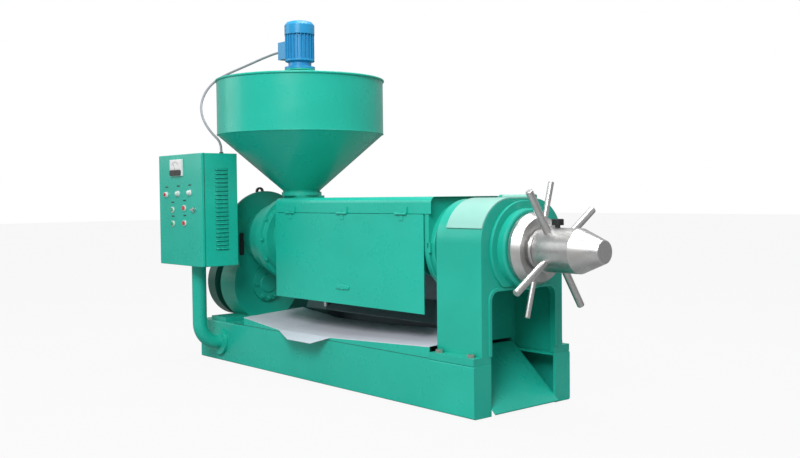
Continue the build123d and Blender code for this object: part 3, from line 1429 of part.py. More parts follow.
# Meter, lamps and the rings round the buttons
with BuildPart() as door_instruments:
    with BuildSketch(lengthwise(cabinet_front)):
        with Locations(((meter_left + meter_right) / 2, (meter_bottom + meter_top) / 2)):
            Rectangle(meter_right - meter_left, meter_top - meter_bottom)
    extrude(amount=meter_depth)
    fillet(door_instruments.faces().sort_by(Axis.Y)[0].edges(), 3)
    for x, z in lamp_places:
        extrude(rod_sketch((x, cabinet_front, z), (0, -1, 0), lamp_radius + lamp_ring), amount=lamp_depth / 3)
        extrude(rod_sketch((x, cabinet_front - lamp_depth / 3, z), (0, -1, 0), lamp_radius),
                amount=lamp_depth * 2 / 3)
    for name, x, z in button_places:
        with BuildSketch(lengthwise(cabinet_front)):
            with Locations((x, z)):
                Circle(button_ring_radius)
                Circle(button_radius + seat_gap, mode=Mode.SUBTRACT)
        extrude(amount=button_ring_depth)
save(door_instruments.part, "door_instruments")

for name, x, z in button_places:
    with BuildPart() as button:
        extrude(rod_sketch((x, cabinet_front + button_stem, z), (0, -1, 0), button_radius),
                amount=button_stem + button_ring_depth + button_proud)
        fillet(button.faces().sort_by(Axis.Y)[0].edges(), 2.5)
    save(button.part, name)

# Quarter-turn lock of the cabinet door, its cam behind the door
with BuildPart() as door_lock:
    extrude(rod_sketch((door_lock_x, cabinet_front - seat_gap, door_lock_z), (0, -1, 0), door_lock_radius),
            amount=9)
    with BuildSketch(lengthwise(cabinet_front - seat_gap - 9)):
        with Locations((door_lock_x, door_lock_z)):
            SlotOverall(2 * door_lock_radius + 6, 10)
    extrude(amount=12)
    extrude(rod_sketch((door_lock_x, cabinet_front - seat_gap, door_lock_z), (0, 1, 0), latch_stem_radius),
            amount=cabinet_door_depth + cabinet_sheet + 2 * seat_gap + 4)
    with BuildSketch(lengthwise(shell_front + cabinet_sheet + seat_gap + 4)):
        with Locations((door_lock_x, door_lock_z - door_lock_cam / 2 + latch_stem_radius)):
            Rectangle(2 * latch_stem_radius, door_lock_cam)
    extrude(amount=4)
save(door_lock.part, "door_lock")

# Post: pipe from the cabinet floor, elbow and round flange on the front rail
with BuildPart() as cabinet_post:
    extrude(rod_sketch((post_x, post_y, post_foot_z + post_bend), (0, 0, 1), post_radius),
            amount=cabinet_bottom - post_foot_z - post_bend)
    bend_axis = Axis((post_x, post_y + post_bend, post_foot_z + post_bend), (1, 0, 0))
    revolve(rod_sketch((post_x, post_y, post_foot_z + post_bend), (0, 0, 1), post_radius), axis=bend_axis,
            revolution_arc=90)
    extrude(rod_sketch((post_x, -half_width, post_foot_z), (0, -1, 0), post_flange_radius),
            amount=post_flange_width)
save(cabinet_post.part, "cabinet_post")

# Conduit: straight runs joined by arcs as large as the runs allow
route = [Vector(*point) for point in conduit_points]
runs = [route[number + 1] - route[number] for number in range(len(route) - 1)]
conduit_radii = []
for before, after in zip(runs, runs[1:]):
    half_turn = radians(before.get_angle(after)) / 2
    conduit_radii.append(0.45 * min(before.length, after.length) / tan(half_turn))
print("conduit radii", [round(radius) for radius in conduit_radii])
print("conduit turns", [round(before.get_angle(after)) for before, after in zip(runs, runs[1:])])
print("conduit runs", [round(run.length) for run in runs])
with BuildPart() as conduit:
    with BuildLine() as conduit_path:
        FilletPolyline(*conduit_points, radius=conduit_radii)
    with BuildSketch(Plane(origin=conduit_points[0], z_dir=runs[0].normalized())):
        Circle(conduit_radius)
    sweep()
conduit_length = sum(edge.length for edge in conduit_path.edges())
print("conduit length", round(conduit_length), "volume ratio",
      round(conduit.part.volume / (pi * conduit_radius**2 * conduit_length), 4))
save(conduit.part, "conduit")

with BuildPart() as conduit_glands:
    extrude(rod_sketch((terminal_left, 0, conduit_points[0][2]), (-1, 0, 0), gland_radius),
            amount=terminal_left - conduit_points[0][0])
    extrude(rod_sketch((gland_x, gland_y, cabinet_top), (0, 0, 1), gland_radius),
            amount=conduit_points[-1][2] - cabinet_top)
save(conduit_glands.part, "conduit_glands")

# Bolts
with BuildPart() as foot_bolts:
    bolt_y = (column_half_width + half_width) / 2
    for x in (column_start + 45, column_end - 45):
        for side in (-1, 1):
            with BuildSketch(Plane.XY.offset(base_height + column_foot_height)):
                with Locations((x, side * bolt_y)):
                    RegularPolygon(17, 6, major_radius=False)
            extrude(amount=16)
save(foot_bolts.part, "foot_bolts")

bolt_size = 24
small_bolt_size = 17
bolt_height = 12
with BuildPart() as flange_bolts:
    for angle in range(0, 360, 30):
        y, z = polar(angle, (feed_flange_radius + housing_disc_radius) / 2)
        extrude(hex_head(housing_end - housing_land, y, z, small_bolt_size), amount=bolt_height)
    for angle in range(150, 211, 30):
        y, z = polar(angle, lower_cover_radius - 20, 0, input_z)
        extrude(hex_head(case_end + lower_cover_thickness, y, z, bolt_size), amount=bolt_height)
    for angle in (90, 270):
        y, z = polar(angle, lower_cover_radius - 20, 0, input_z)
        extrude(hex_head(case_end + lower_cover_thickness, y, z, bolt_size), amount=bolt_height)
    for side in (-1, 1):
        for x in (case_start + 30, (case_start + case_end) / 2, case_end - 45):
            with BuildSketch(Plane.XY.offset(case_split + case_flange)):
                with Locations((x, side * (case_radius + case_flange_reach - 12))):
                    RegularPolygon(9, 6, major_radius=False)
            extrude(amount=bolt_height)
save(flange_bolts.part, "flange_bolts")
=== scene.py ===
import bmesh
import bpy
import numpy as np
from mathutils import Matrix, Vector


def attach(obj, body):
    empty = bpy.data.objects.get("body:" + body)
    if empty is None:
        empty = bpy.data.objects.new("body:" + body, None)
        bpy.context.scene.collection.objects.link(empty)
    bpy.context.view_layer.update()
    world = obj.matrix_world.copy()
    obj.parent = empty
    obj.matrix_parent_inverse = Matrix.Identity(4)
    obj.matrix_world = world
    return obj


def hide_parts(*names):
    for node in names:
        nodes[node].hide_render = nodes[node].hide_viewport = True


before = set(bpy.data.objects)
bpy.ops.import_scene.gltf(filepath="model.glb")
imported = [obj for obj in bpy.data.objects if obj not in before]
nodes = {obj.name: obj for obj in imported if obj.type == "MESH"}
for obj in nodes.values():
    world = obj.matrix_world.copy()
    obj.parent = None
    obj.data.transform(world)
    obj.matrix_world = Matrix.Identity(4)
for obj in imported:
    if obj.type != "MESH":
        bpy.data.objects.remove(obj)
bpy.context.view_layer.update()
print("frame loaded,", len(nodes), "nodes")


# camera: stands where the picture was taken from, looking along the yaw and pitch, tilted by the roll
cameraView = {"place": (4.4135, -3.4875, 1.0466), "yaw": 49.2743, "pitchDown": 1.9505, "roll": -0.6138,
              "lens": 43.107}


def cameraTurn(view):
    yaw, pitch, roll = np.radians([view["yaw"], view["pitchDown"], view["roll"]])
    ahead = Vector((-np.sin(yaw) * np.cos(pitch), np.cos(yaw) * np.cos(pitch), -np.sin(pitch)))
    side = Vector((np.cos(yaw), np.sin(yaw), 0))
    above = side.cross(ahead)
    right = side * np.cos(roll) + above * np.sin(roll)
    up = above * np.cos(roll) - side * np.sin(roll)
    return Matrix((right, up, -ahead)).transposed()


cameraData = bpy.data.cameras.new("studioCamera")
cameraData.lens = cameraView["lens"]
cameraData.sensor_width = 36
camera = bpy.data.objects.new("studioCamera", cameraData)
camera.matrix_world = Matrix.Translation(cameraView["place"]) @ cameraTurn(cameraView).to_4x4()
bpy.context.scene.collection.objects.link(camera)
bpy.context.scene.camera = camera


# studio: pale floor, pale surroundings, large soft lamps
studio = {"floorHalf": 40, "floorColour": (0.3, 0.3, 0.3, 1), "floorGlow": 0.92, "floorRoughness": 0.75,
          "skyColour": (1, 1, 1, 1), "skyStrength": 0.47, "backdropStrength": 1.0, "exposure": 0.0}
lamps = {
    "keyLamp": {"place": (3.2, -4.6, 4.6), "target": (0.1, 0, 0.9), "size": 2.6, "power": 355},
    "fillLamp": {"place": (-4.2, -3.6, 2.8), "target": (-0.4, 0, 0.9), "size": 3.0, "power": 45},
    "topLamp": {"place": (0.4, 0.6, 6.0), "target": (0, 0, 1.0), "size": 3.4, "power": 225},
}


def addLamp(name, settings):
    data = bpy.data.lights.new(name, "AREA")
    data.energy = settings["power"]
    data.size = settings["size"]
    lamp = bpy.data.objects.new(name, data)
    aim = Vector(settings["target"]) - Vector(settings["place"])
    turn = aim.to_track_quat("-Z", "Y").to_matrix().to_4x4()
    lamp.matrix_world = Matrix.Translation(settings["place"]) @ turn
    bpy.context.scene.collection.objects.link(lamp)


for lampName, lampSettings in lamps.items():
    addLamp(lampName, lampSettings)

world = bpy.data.worlds.new("studioSky")
world.use_nodes = True
skyTree = world.node_tree
skyLight = skyTree.nodes["Background"]
skyLight.inputs["Color"].default_value = studio["skyColour"]
skyLight.inputs["Strength"].default_value = studio["skyStrength"]
# the backdrop stays white to the eye while the sky that lights the press is dimmer
backdrop = skyTree.nodes.new("ShaderNodeBackground")
backdrop.inputs["Color"].default_value = studio["skyColour"]
backdrop.inputs["Strength"].default_value = studio["backdropStrength"]
skyChoice = skyTree.nodes.new("ShaderNodeMixShader")
skyRay = skyTree.nodes.new("ShaderNodeLightPath")
skyTree.links.new(skyRay.outputs["Is Camera Ray"], skyChoice.inputs[0])
skyTree.links.new(skyLight.outputs[0], skyChoice.inputs[1])
skyTree.links.new(backdrop.outputs[0], skyChoice.inputs[2])
skyTree.links.new(skyChoice.outputs[0], skyTree.nodes["World Output"].inputs["Surface"])
bpy.context.scene.world = world
bpy.context.scene.view_settings.view_transform = "Standard"
bpy.context.scene.view_settings.exposure = studio["exposure"]
print("camera and lamps placed")


# shader groups: each one puts out colours, masks and values for the shader in the material
def newGroup(name, inputs, outputs):
    group = bpy.data.node_groups.new(name, "ShaderNodeTree")
    for label, kind, value in inputs:
        socket = group.interface.new_socket(name=label, in_out="INPUT", socket_type="NodeSocket" + kind)
        if value is not None:
            socket.default_value = value
    for label, kind in outputs:
        group.interface.new_socket(name=label, in_out="OUTPUT", socket_type="NodeSocket" + kind)
    return group, group.nodes.new("NodeGroupInput"), group.nodes.new("NodeGroupOutput")


def addNode(tree, kind, settings=None, values=None, links=None):
    node = tree.nodes.new("ShaderNode" + kind)
    for key, value in (settings or {}).items():
        setattr(node, key, value)
    for key, value in (values or {}).items():
        node.inputs[key].default_value = value
    for key, source in (links or {}).items():
        tree.links.new(source, node.inputs[key])
    return node


def scaled(tree, vector, factors):
    mapping = addNode(tree, "Mapping", {"vector_type": "POINT"}, {"Scale": factors}, {"Vector": vector})
    return mapping.outputs[0]


def noise(tree, vector, scale, detail=3.0, roughness=0.55, kind="3D"):
    node = addNode(tree, "TexNoise", {"noise_dimensions": kind},
                   {"Scale": scale, "Detail": detail, "Roughness": roughness})
    tree.links.new(vector, node.inputs["W" if kind == "1D" else "Vector"])
    return node.outputs[0]


def stretch(tree, value, low, high, outLow=0.0, outHigh=1.0):
    return addNode(tree, "MapRange", {"interpolation_type": "SMOOTHSTEP"},
                   {"From Min": low, "From Max": high, "To Min": outLow, "To Max": outHigh},
                   {"Value": value}).outputs[0]


def combine(tree, operation, first, second):
    node = addNode(tree, "Math", {"operation": operation})
    for place, value in enumerate((first, second)):
        if isinstance(value, (int, float)):
            node.inputs[place].default_value = value
        else:
            tree.links.new(value, node.inputs[place])
    return node.outputs[0]


def mixed(tree, factor, first, second):
    node = addNode(tree, "Mix", {"data_type": "RGBA"})
    for place, value in ((0, factor), (6, first), (7, second)):
        if isinstance(value, (int, float, tuple)):
            node.inputs[place].default_value = value
        else:
            tree.links.new(value, node.inputs[place])
    return node.outputs[2]


enamelLook = {"cloudStretch": (1, 1, 1.4), "cloudDetail": 3.0, "cloudEdges": (0.35, 0.68),
              "upEdges": (0.5, 0.95), "speckSize": 38.0, "speckDetail": 5.0, "speckRoughness": 0.7,
              "speckEdges": (0.42, 0.66), "patchSize": 9.0, "patchDetail": 4.0, "patchEdges": (0.3, 0.75),
              "patchGloss": (-0.04, 0.07), "dustGloss": 0.5, "peelSize": 90.0, "peelDetail": 2.0}


def enamelGroup():
    # cloudy colour between paint and shade, dust where the face looks up, fine waviness of sprayed paint
    group, given, result = newGroup(
        "sprayedEnamel",
        [("Paint", "Color", (0.1, 0.5, 0.4, 1)), ("Shade", "Color", (0.05, 0.35, 0.3, 1)),
         ("Dust", "Color", (0.5, 0.55, 0.5, 1)), ("Dust Amount", "Float", 0.15), ("Cloud Size", "Float", 2.0),
         ("Grain Size", "Float", 90.0), ("Gloss Roughness", "Float", 0.28)],
        [("Colour", "Color"), ("Roughness", "Float"), ("Height", "Float")])
    place = addNode(group, "TexCoord").outputs["Object"]
    cloudNode = noise(group, scaled(group, place, enamelLook["cloudStretch"]), 1.0, enamelLook["cloudDetail"])
    group.links.new(given.outputs["Cloud Size"], cloudNode.node.inputs["Scale"])
    clouds = stretch(group, cloudNode, *enamelLook["cloudEdges"])
    coat = mixed(group, clouds, given.outputs["Paint"], given.outputs["Shade"])
    surface = addNode(group, "NewGeometry")
    facing = addNode(group, "SeparateXYZ", links={"Vector": surface.outputs["Normal"]})
    lookingUp = stretch(group, facing.outputs["Z"], *enamelLook["upEdges"])
    specks = stretch(group, noise(group, place, enamelLook["speckSize"], enamelLook["speckDetail"],
                                  enamelLook["speckRoughness"]), *enamelLook["speckEdges"])
    settled = combine(group, "MULTIPLY", lookingUp, specks)
    dusty = combine(group, "MULTIPLY", settled, given.outputs["Dust Amount"])
    group.links.new(mixed(group, dusty, coat, given.outputs["Dust"]), result.inputs["Colour"])
    patches = stretch(group, noise(group, place, enamelLook["patchSize"], enamelLook["patchDetail"]),
                      *enamelLook["patchEdges"], *enamelLook["patchGloss"])
    rough = combine(group, "ADD", combine(group, "ADD", given.outputs["Gloss Roughness"], patches),
                    combine(group, "MULTIPLY", dusty, enamelLook["dustGloss"]))
    group.links.new(rough, result.inputs["Roughness"])
    peelNode = noise(group, place, enamelLook["peelSize"], enamelLook["peelDetail"])
    group.links.new(given.outputs["Grain Size"], peelNode.node.inputs["Scale"])
    group.links.new(peelNode, result.inputs["Height"])
    return group


wearLook = {"coarseSize": 5.0, "coarseDetail": 2.0, "coarseEdges": (0.5, 0.7), "fineSize": 60.0,
            "fineDetail": 4.0, "fineRoughness": 0.7, "fineEdges": (0.66, 0.72)}


def wearGroup():
    # small chips: a coarse patchiness times a fine noise that only its peaks pass
    group, given, result = newGroup(
        "paintChips",
        [("Colour", "Color", (0.1, 0.5, 0.4, 1)), ("Bare", "Color", (0.16, 0.15, 0.13, 1)),
         ("Chip Size", "Float", 60.0), ("Amount", "Float", 0.3)],
        [("Colour", "Color"), ("Chips", "Float")])
    place = addNode(group, "TexCoord").outputs["Object"]
    coarse = stretch(group, noise(group, place, wearLook["coarseSize"], wearLook["coarseDetail"]),
                     *wearLook["coarseEdges"])
    fineNode = noise(group, place, wearLook["fineSize"], wearLook["fineDetail"], wearLook["fineRoughness"])
    group.links.new(given.outputs["Chip Size"], fineNode.node.inputs["Scale"])
    fine = stretch(group, fineNode, *wearLook["fineEdges"])
    chips = combine(group, "MULTIPLY", combine(group, "MULTIPLY", coarse, fine), given.outputs["Amount"])
    group.links.new(chips, result.inputs["Chips"])
    worn = mixed(group, chips, given.outputs["Colour"], given.outputs["Bare"])
    group.links.new(worn, result.inputs["Colour"])
    return group


turnedLook = {"markDetail": 1.0, "markRoughness": 0.5, "markEdges": (0.3, 0.7), "markShare": 0.35,
              "smearDetail": 5.0, "smearRoughness": 0.6, "smearEdges": (0.35, 0.7), "smearShare": 0.65}


def turnedGroup():
    # tool marks of a lathe: a fine one-way noise along the length plus the distance from the axis
    group, given, result = newGroup(
        "turnedMarks",
        [("Bright", "Color", (0.8, 0.8, 0.79, 1)), ("Dull", "Color", (0.55, 0.54, 0.52, 1)),
         ("Centre", "Vector", (0, 0, 0)), ("Pitch", "Float", 900.0), ("Smear Size", "Float", 14.0),
         ("Least Roughness", "Float", 0.16), ("Most Roughness", "Float", 0.36)],
        [("Colour", "Color"), ("Roughness", "Float"), ("Height", "Float")])
    place = addNode(group, "TexCoord").outputs["Object"]
    away = addNode(group, "VectorMath", {"operation": "SUBTRACT"})
    group.links.new(place, away.inputs[0])
    group.links.new(given.outputs["Centre"], away.inputs[1])
    parts = addNode(group, "SeparateXYZ", links={"Vector": away.outputs[0]})
    across = addNode(group, "CombineXYZ", links={"Y": parts.outputs["Y"], "Z": parts.outputs["Z"]})
    reach = addNode(group, "VectorMath", {"operation": "LENGTH"}, links={0: across.outputs[0]})
    travelled = combine(group, "ADD", parts.outputs["X"], reach.outputs["Value"])
    alongNode = noise(group, travelled, 1.0, turnedLook["markDetail"], turnedLook["markRoughness"], "1D")
    group.links.new(given.outputs["Pitch"], alongNode.node.inputs["Scale"])
    group.links.new(alongNode, result.inputs["Height"])
    smearNode = noise(group, place, 1.0, turnedLook["smearDetail"], turnedLook["smearRoughness"])
    group.links.new(given.outputs["Smear Size"], smearNode.node.inputs["Scale"])
    smear = stretch(group, smearNode, *turnedLook["smearEdges"])
    grooves = stretch(group, alongNode, *turnedLook["markEdges"])
    mark = combine(group, "MULTIPLY", grooves, turnedLook["markShare"])
    blendIn = combine(group, "ADD", combine(group, "MULTIPLY", smear, turnedLook["smearShare"]), mark)
    metal = mixed(group, blendIn, given.outputs["Bright"], given.outputs["Dull"])
    group.links.new(metal, result.inputs["Colour"])
    spread = combine(group, "SUBTRACT", given.outputs["Most Roughness"], given.outputs["Least Roughness"])
    added = combine(group, "MULTIPLY", blendIn, spread)
    rough = combine(group, "ADD", added, given.outputs["Least Roughness"])
    group.links.new(rough, result.inputs["Roughness"])
    return group


rolledLook = {"streakStretch": (0.04, 1, 1), "streakDetail": 3.0, "streakRoughness": 0.6,
              "streakEdges": (0.3, 0.7), "streakShare": 0.25, "stainDetail": 4.0, "stainRoughness": 0.6,
              "stainEdges": (0.4, 0.68)}


def rolledGroup():
    # rolled sheet: streaks drawn out along X, with larger stains of another tone
    group, given, result = newGroup(
        "rolledSheet",
        [("Bright", "Color", (0.75, 0.75, 0.8, 1)), ("Stain", "Color", (0.5, 0.5, 0.55, 1)),
         ("Streak Size", "Float", 60.0), ("Stain Size", "Float", 4.0), ("Stain Amount", "Float", 0.6),
         ("Least Roughness", "Float", 0.2), ("Most Roughness", "Float", 0.45)],
        [("Colour", "Color"), ("Roughness", "Float"), ("Height", "Float")])
    place = addNode(group, "TexCoord").outputs["Object"]
    streakNode = noise(group, scaled(group, place, rolledLook["streakStretch"]), 1.0,
                       rolledLook["streakDetail"], rolledLook["streakRoughness"])
    group.links.new(given.outputs["Streak Size"], streakNode.node.inputs["Scale"])
    group.links.new(streakNode, result.inputs["Height"])
    stainNode = noise(group, place, 1.0, rolledLook["stainDetail"], rolledLook["stainRoughness"])
    group.links.new(given.outputs["Stain Size"], stainNode.node.inputs["Scale"])
    stained = stretch(group, stainNode, *rolledLook["stainEdges"])
    stains = combine(group, "MULTIPLY", stained, given.outputs["Stain Amount"])
    streaked = stretch(group, streakNode, *rolledLook["streakEdges"])
    streaks = combine(group, "MULTIPLY", streaked, rolledLook["streakShare"])
    amount = combine(group, "ADD", stains, streaks)
    metal = mixed(group, amount, given.outputs["Bright"], given.outputs["Stain"])
    group.links.new(metal, result.inputs["Colour"])
    spread = combine(group, "SUBTRACT", given.outputs["Most Roughness"], given.outputs["Least Roughness"])
    added = combine(group, "MULTIPLY", amount, spread)
    rough = combine(group, "ADD", added, given.outputs["Least Roughness"])
    group.links.new(rough, result.inputs["Roughness"])
    return group


enamel = enamelGroup()
paintChips = wearGroup()
turnedMarks = turnedGroup()
rolledSheet = rolledGroup()


bumpDepth = {"enamel": 0.0006, "turned": 0.0003, "rolled": 0.0004, "plastic": 0.0003, "lens": 0.0006}
edgeSamples = 4
coatRoughness = 0.12


def newMaterial(name):
    material = bpy.data.materials.new(name)
    material.use_nodes = True
    tree = material.node_tree
    return material, tree, tree.nodes["Principled BSDF"]


def useGroup(tree, group, values):
    node = tree.nodes.new("ShaderNodeGroup")
    node.node_tree = group
    for key, value in values.items():
        node.inputs[key].default_value = value
    return node


def bumpFrom(tree, height, strength, distance, shader, edge=0.0):
    bump = addNode(tree, "Bump", values={"Strength": strength, "Distance": distance},
                   links={"Height": height})
    if edge:
        rounding = addNode(tree, "Bevel", {"samples": edgeSamples}, {"Radius": edge})
        tree.links.new(rounding.outputs[0], bump.inputs["Normal"])
    tree.links.new(bump.outputs[0], shader.inputs["Normal"])


def paintedMaterial(name, paint, shade, dust, dustAmount=0.07, chips=0.08, cloud=1.6, grain=90.0, rough=0.3,
                    coat=0.12, bump=0.2, specular=0.35, edge=0.004):
    material, tree, shader = newMaterial(name)
    film = useGroup(tree, enamel, {"Paint": paint, "Shade": shade, "Dust": dust, "Dust Amount": dustAmount,
                                   "Cloud Size": cloud, "Grain Size": grain, "Gloss Roughness": rough})
    worn = useGroup(tree, paintChips, {"Amount": chips})
    tree.links.new(film.outputs["Colour"], worn.inputs["Colour"])
    tree.links.new(worn.outputs["Colour"], shader.inputs["Base Color"])
    tree.links.new(film.outputs["Roughness"], shader.inputs["Roughness"])
    shader.inputs["Coat Weight"].default_value = coat
    shader.inputs["Coat Roughness"].default_value = coatRoughness
    shader.inputs["Specular IOR Level"].default_value = specular
    bumpFrom(tree, film.outputs["Height"], bump, bumpDepth["enamel"], shader, edge)
    return material


def turnedMaterial(name, bright, dull, centre, pitch=900.0, smear=14.0, least=0.16, most=0.36, bump=0.2,
                   metallic=1.0):
    material, tree, shader = newMaterial(name)
    marks = useGroup(tree, turnedMarks, {"Bright": bright, "Dull": dull, "Centre": centre, "Pitch": pitch,
                                         "Smear Size": smear, "Least Roughness": least,
                                         "Most Roughness": most})
    tree.links.new(marks.outputs["Colour"], shader.inputs["Base Color"])
    tree.links.new(marks.outputs["Roughness"], shader.inputs["Roughness"])
    shader.inputs["Metallic"].default_value = metallic
    bumpFrom(tree, marks.outputs["Height"], bump, bumpDepth["turned"], shader)
    return material


def rolledMaterial(name, bright, stain, streak=60.0, stainSize=4.0, stainAmount=0.6, least=0.2, most=0.45,
                   metallic=1.0, bump=0.15):
    material, tree, shader = newMaterial(name)
    skin = useGroup(tree, rolledSheet, {"Bright": bright, "Stain": stain, "Streak Size": streak,
                                        "Stain Size": stainSize, "Stain Amount": stainAmount,
                                        "Least Roughness": least, "Most Roughness": most})
    tree.links.new(skin.outputs["Colour"], shader.inputs["Base Color"])
    tree.links.new(skin.outputs["Roughness"], shader.inputs["Roughness"])
    shader.inputs["Metallic"].default_value = metallic
    bumpFrom(tree, skin.outputs["Height"], bump, bumpDepth["rolled"], shader)
    return material


pressAxis = (0, 0, 0.7865)
greenSheet = paintedMaterial("greenSheet", (0.014, 0.46, 0.35, 1), (0.010, 0.42, 0.315, 1),
                             (0.30, 0.50, 0.42, 1))
greenCasting = paintedMaterial("greenCasting", (0.013, 0.43, 0.325, 1), (0.009, 0.38, 0.285, 1),
                               (0.30, 0.48, 0.40, 1), grain=140.0, rough=0.36, bump=0.45)
# head lid: the green made much paler than the rest, a painted reflection of the bright light from above on
# the lid's top
lidPaintedSheen = paintedMaterial("lidPaintedSheenPaint", (0.30, 0.56, 0.50, 1), (0.24, 0.52, 0.45, 1), (0.45, 0.6, 0.56, 1),
                          rough=0.34)
# belt guard: machine green darkened to a dark grey-green, painted shade of the cabinet that hangs over it
guardPaintedShade = paintedMaterial("guardPaintedShade", (0.02, 0.15, 0.115, 1), (0.015, 0.11, 0.085, 1),
                             (0.1, 0.2, 0.16, 1), rough=0.42)
bluePaint = paintedMaterial("bluePaint", (0.025, 0.33, 0.64, 1), (0.018, 0.26, 0.54, 1), (0.3, 0.4, 0.5, 1))
polishedSteel = turnedMaterial("polishedSteel", (0.70, 0.70, 0.70, 1), (0.52, 0.51, 0.50, 1), pressAxis,
                               least=0.26, most=0.46)
roughSteel = turnedMaterial("roughSteel", (0.42, 0.36, 0.30, 1), (0.26, 0.18, 0.12, 1), pressAxis,
                            pitch=500.0, smear=30.0, least=0.35, most=0.6)
gearSteel = turnedMaterial("gearSteel", (0.5, 0.49, 0.48, 1), (0.3, 0.29, 0.28, 1), pressAxis,
                           pitch=700.0, smear=20.0, least=0.25, most=0.45)
darkSteel = turnedMaterial("darkSteel", (0.10, 0.10, 0.105, 1), (0.05, 0.05, 0.052, 1), pressAxis,
                           pitch=700.0, smear=25.0, least=0.35, most=0.55)
zincBolt = turnedMaterial("zincBolt", (0.62, 0.60, 0.55, 1), (0.4, 0.38, 0.34, 1), pressAxis,
                          pitch=600.0, smear=60.0, least=0.3, most=0.5)
traySheet = rolledMaterial("traySheet", (0.74, 0.75, 0.84, 1), (0.60, 0.62, 0.71, 1),
                           stainAmount=0.3, least=0.3, most=0.5, metallic=0.2, bump=0.08)
darkSheet = rolledMaterial("darkSheet", (0.20, 0.27, 0.30, 1), (0.15, 0.21, 0.235, 1), least=0.4, most=0.6,
                           metallic=0.1)

plasticLook = {"speckDetail": 3.0, "speckEdges": (0.35, 0.7), "patchSize": 30.0, "patchEdges": (0.3, 0.7),
               "glossier": 0.05, "duller": 0.08, "bump": 0.15}


def plainPlastic(name, colour, darker, rough, coat=0.0, speck=220.0):
    # moulded plastic: faint speckle in colour and height
    material, tree, shader = newMaterial(name)
    place = addNode(tree, "TexCoord").outputs["Object"]
    speckle = noise(tree, place, speck, plasticLook["speckDetail"])
    specks = stretch(tree, speckle, *plasticLook["speckEdges"])
    tree.links.new(mixed(tree, specks, colour, darker), shader.inputs["Base Color"])
    patches = stretch(tree, noise(tree, place, plasticLook["patchSize"]), *plasticLook["patchEdges"],
                      rough - plasticLook["glossier"], rough + plasticLook["duller"])
    tree.links.new(patches, shader.inputs["Roughness"])
    shader.inputs["Coat Weight"].default_value = coat
    bumpFrom(tree, speckle, plasticLook["bump"], bumpDepth["plastic"], shader)
    return material


beltRubber = plainPlastic("beltRubber", (0.025, 0.025, 0.025, 1), (0.04, 0.04, 0.04, 1), 0.75)
blackPlastic = plainPlastic("blackPlastic", (0.02, 0.02, 0.022, 1), (0.03, 0.03, 0.032, 1), 0.45)
greySleeve = plainPlastic("greySleeve", (0.30, 0.32, 0.35, 1), (0.22, 0.24, 0.27, 1), 0.5)
greenCap = plainPlastic("greenCap", (0.02, 0.36, 0.16, 1), (0.015, 0.3, 0.13, 1), 0.25, 0.5)
redCap = plainPlastic("redCap", (0.62, 0.02, 0.02, 1), (0.5, 0.015, 0.015, 1), 0.25, 0.5)
paleFace = plainPlastic("paleFace", (0.75, 0.76, 0.76, 1), (0.68, 0.69, 0.69, 1), 0.3, 0.4)

finishes = {
    "greenSheet": (greenSheet, ["base_frame", "cake_chute", "cover_shell", "cover_door", "cover_hinges",
                                "cover_latch", "hopper", "hopper_bridge", "cabinet_shell", "cabinet_door",
                                "cabinet_hinges", "cabinet_post", "motor_slide_rails"]),
    "guardPaintedShade": (guardPaintedShade, ["belt_guard"]),
    "greenCasting": (greenCasting, ["head_column", "head_bushing", "flange_bolts", "cage_halves",
                                    "cage_end_flange", "feed_housing", "main_bearing_housing",
                                    "gear_case_lower", "gear_case_upper", "lower_bearing_cover"]),
    "lidPaintedSheen": (lidPaintedSheen, ["head_lid"]),
    "bluePaint": (bluePaint, ["feed_motor", "main_motor"]),
    "polishedSteel": (polishedSteel, ["lock_nut", "lock_nut_bars", "adjusting_screw", "adjusting_screw_bars",
                                      "drip_pipe", "door_lock"]),
    "roughSteel": (roughSteel, ["spindle"]),
    "gearSteel": (gearSteel, ["thrust_bearing", "press_worms", "bull_gear", "layshaft", "layshaft_gear",
                              "input_shaft", "input_pulley", "shaft_bearings", "motor_shaft", "motor_pulley",
                              "feed_auger"]),
    "darkSteel": (darkSteel, ["set_screw", "lid_hinge_pin", "lifting_eye"]),
    "zincBolt": (zincBolt, ["foot_bolts"]),
    "traySheet": (traySheet, ["oil_tray"]),
    "darkSheet": (darkSheet, ["rear_deflector", "cage_bars"]),
    "beltRubber": (beltRubber, ["v_belts"]),
    "greySleeve": (greySleeve, ["conduit"]),
    "blackPlastic": (blackPlastic, ["conduit_glands"]),
    "paleFace": (paleFace, ["door_instruments"]),
    "greenCap": (greenCap, ["press_start_button", "feeder_start_button"]),
    "redCap": (redCap, ["press_stop_button", "feeder_stop_button"]),
}


def setFinish(piece, material):
    if not piece.material_slots:
        piece.data.materials.append(material)
    for slot in piece.material_slots:
        slot.material = material


for material, names in finishes.values():
    for nodeName in names:
        setFinish(nodes[nodeName], material)
print("finishes given to the frame's nodes")


# conduit from the feed motor to the cabinet: one smooth line, radius from the setting
conduitLook = {
    "route": [(-0.783, 0, 1.986), (-0.852, 0, 1.986), (-0.940, -0.034, 1.964), (-1.030, -0.072, 1.935),
              (-1.114, -0.113, 1.906), (-1.198, -0.158, 1.876), (-1.270, -0.207, 1.838),
              (-1.304, -0.266, 1.766), (-1.286, -0.316, 1.672), (-1.216, -0.348, 1.588),
              (-1.120, -0.372, 1.520), (-1.014, -0.390, 1.461), (-0.928, -0.403, 1.424),
              (-0.886, -0.409, 1.397), (-0.868, -0.410, 1.366), (-0.868, -0.410, 1.335)],
    "diameter": 0.015, "length": 1.326, "resolution": 10, "sides": 6, "order": 3}

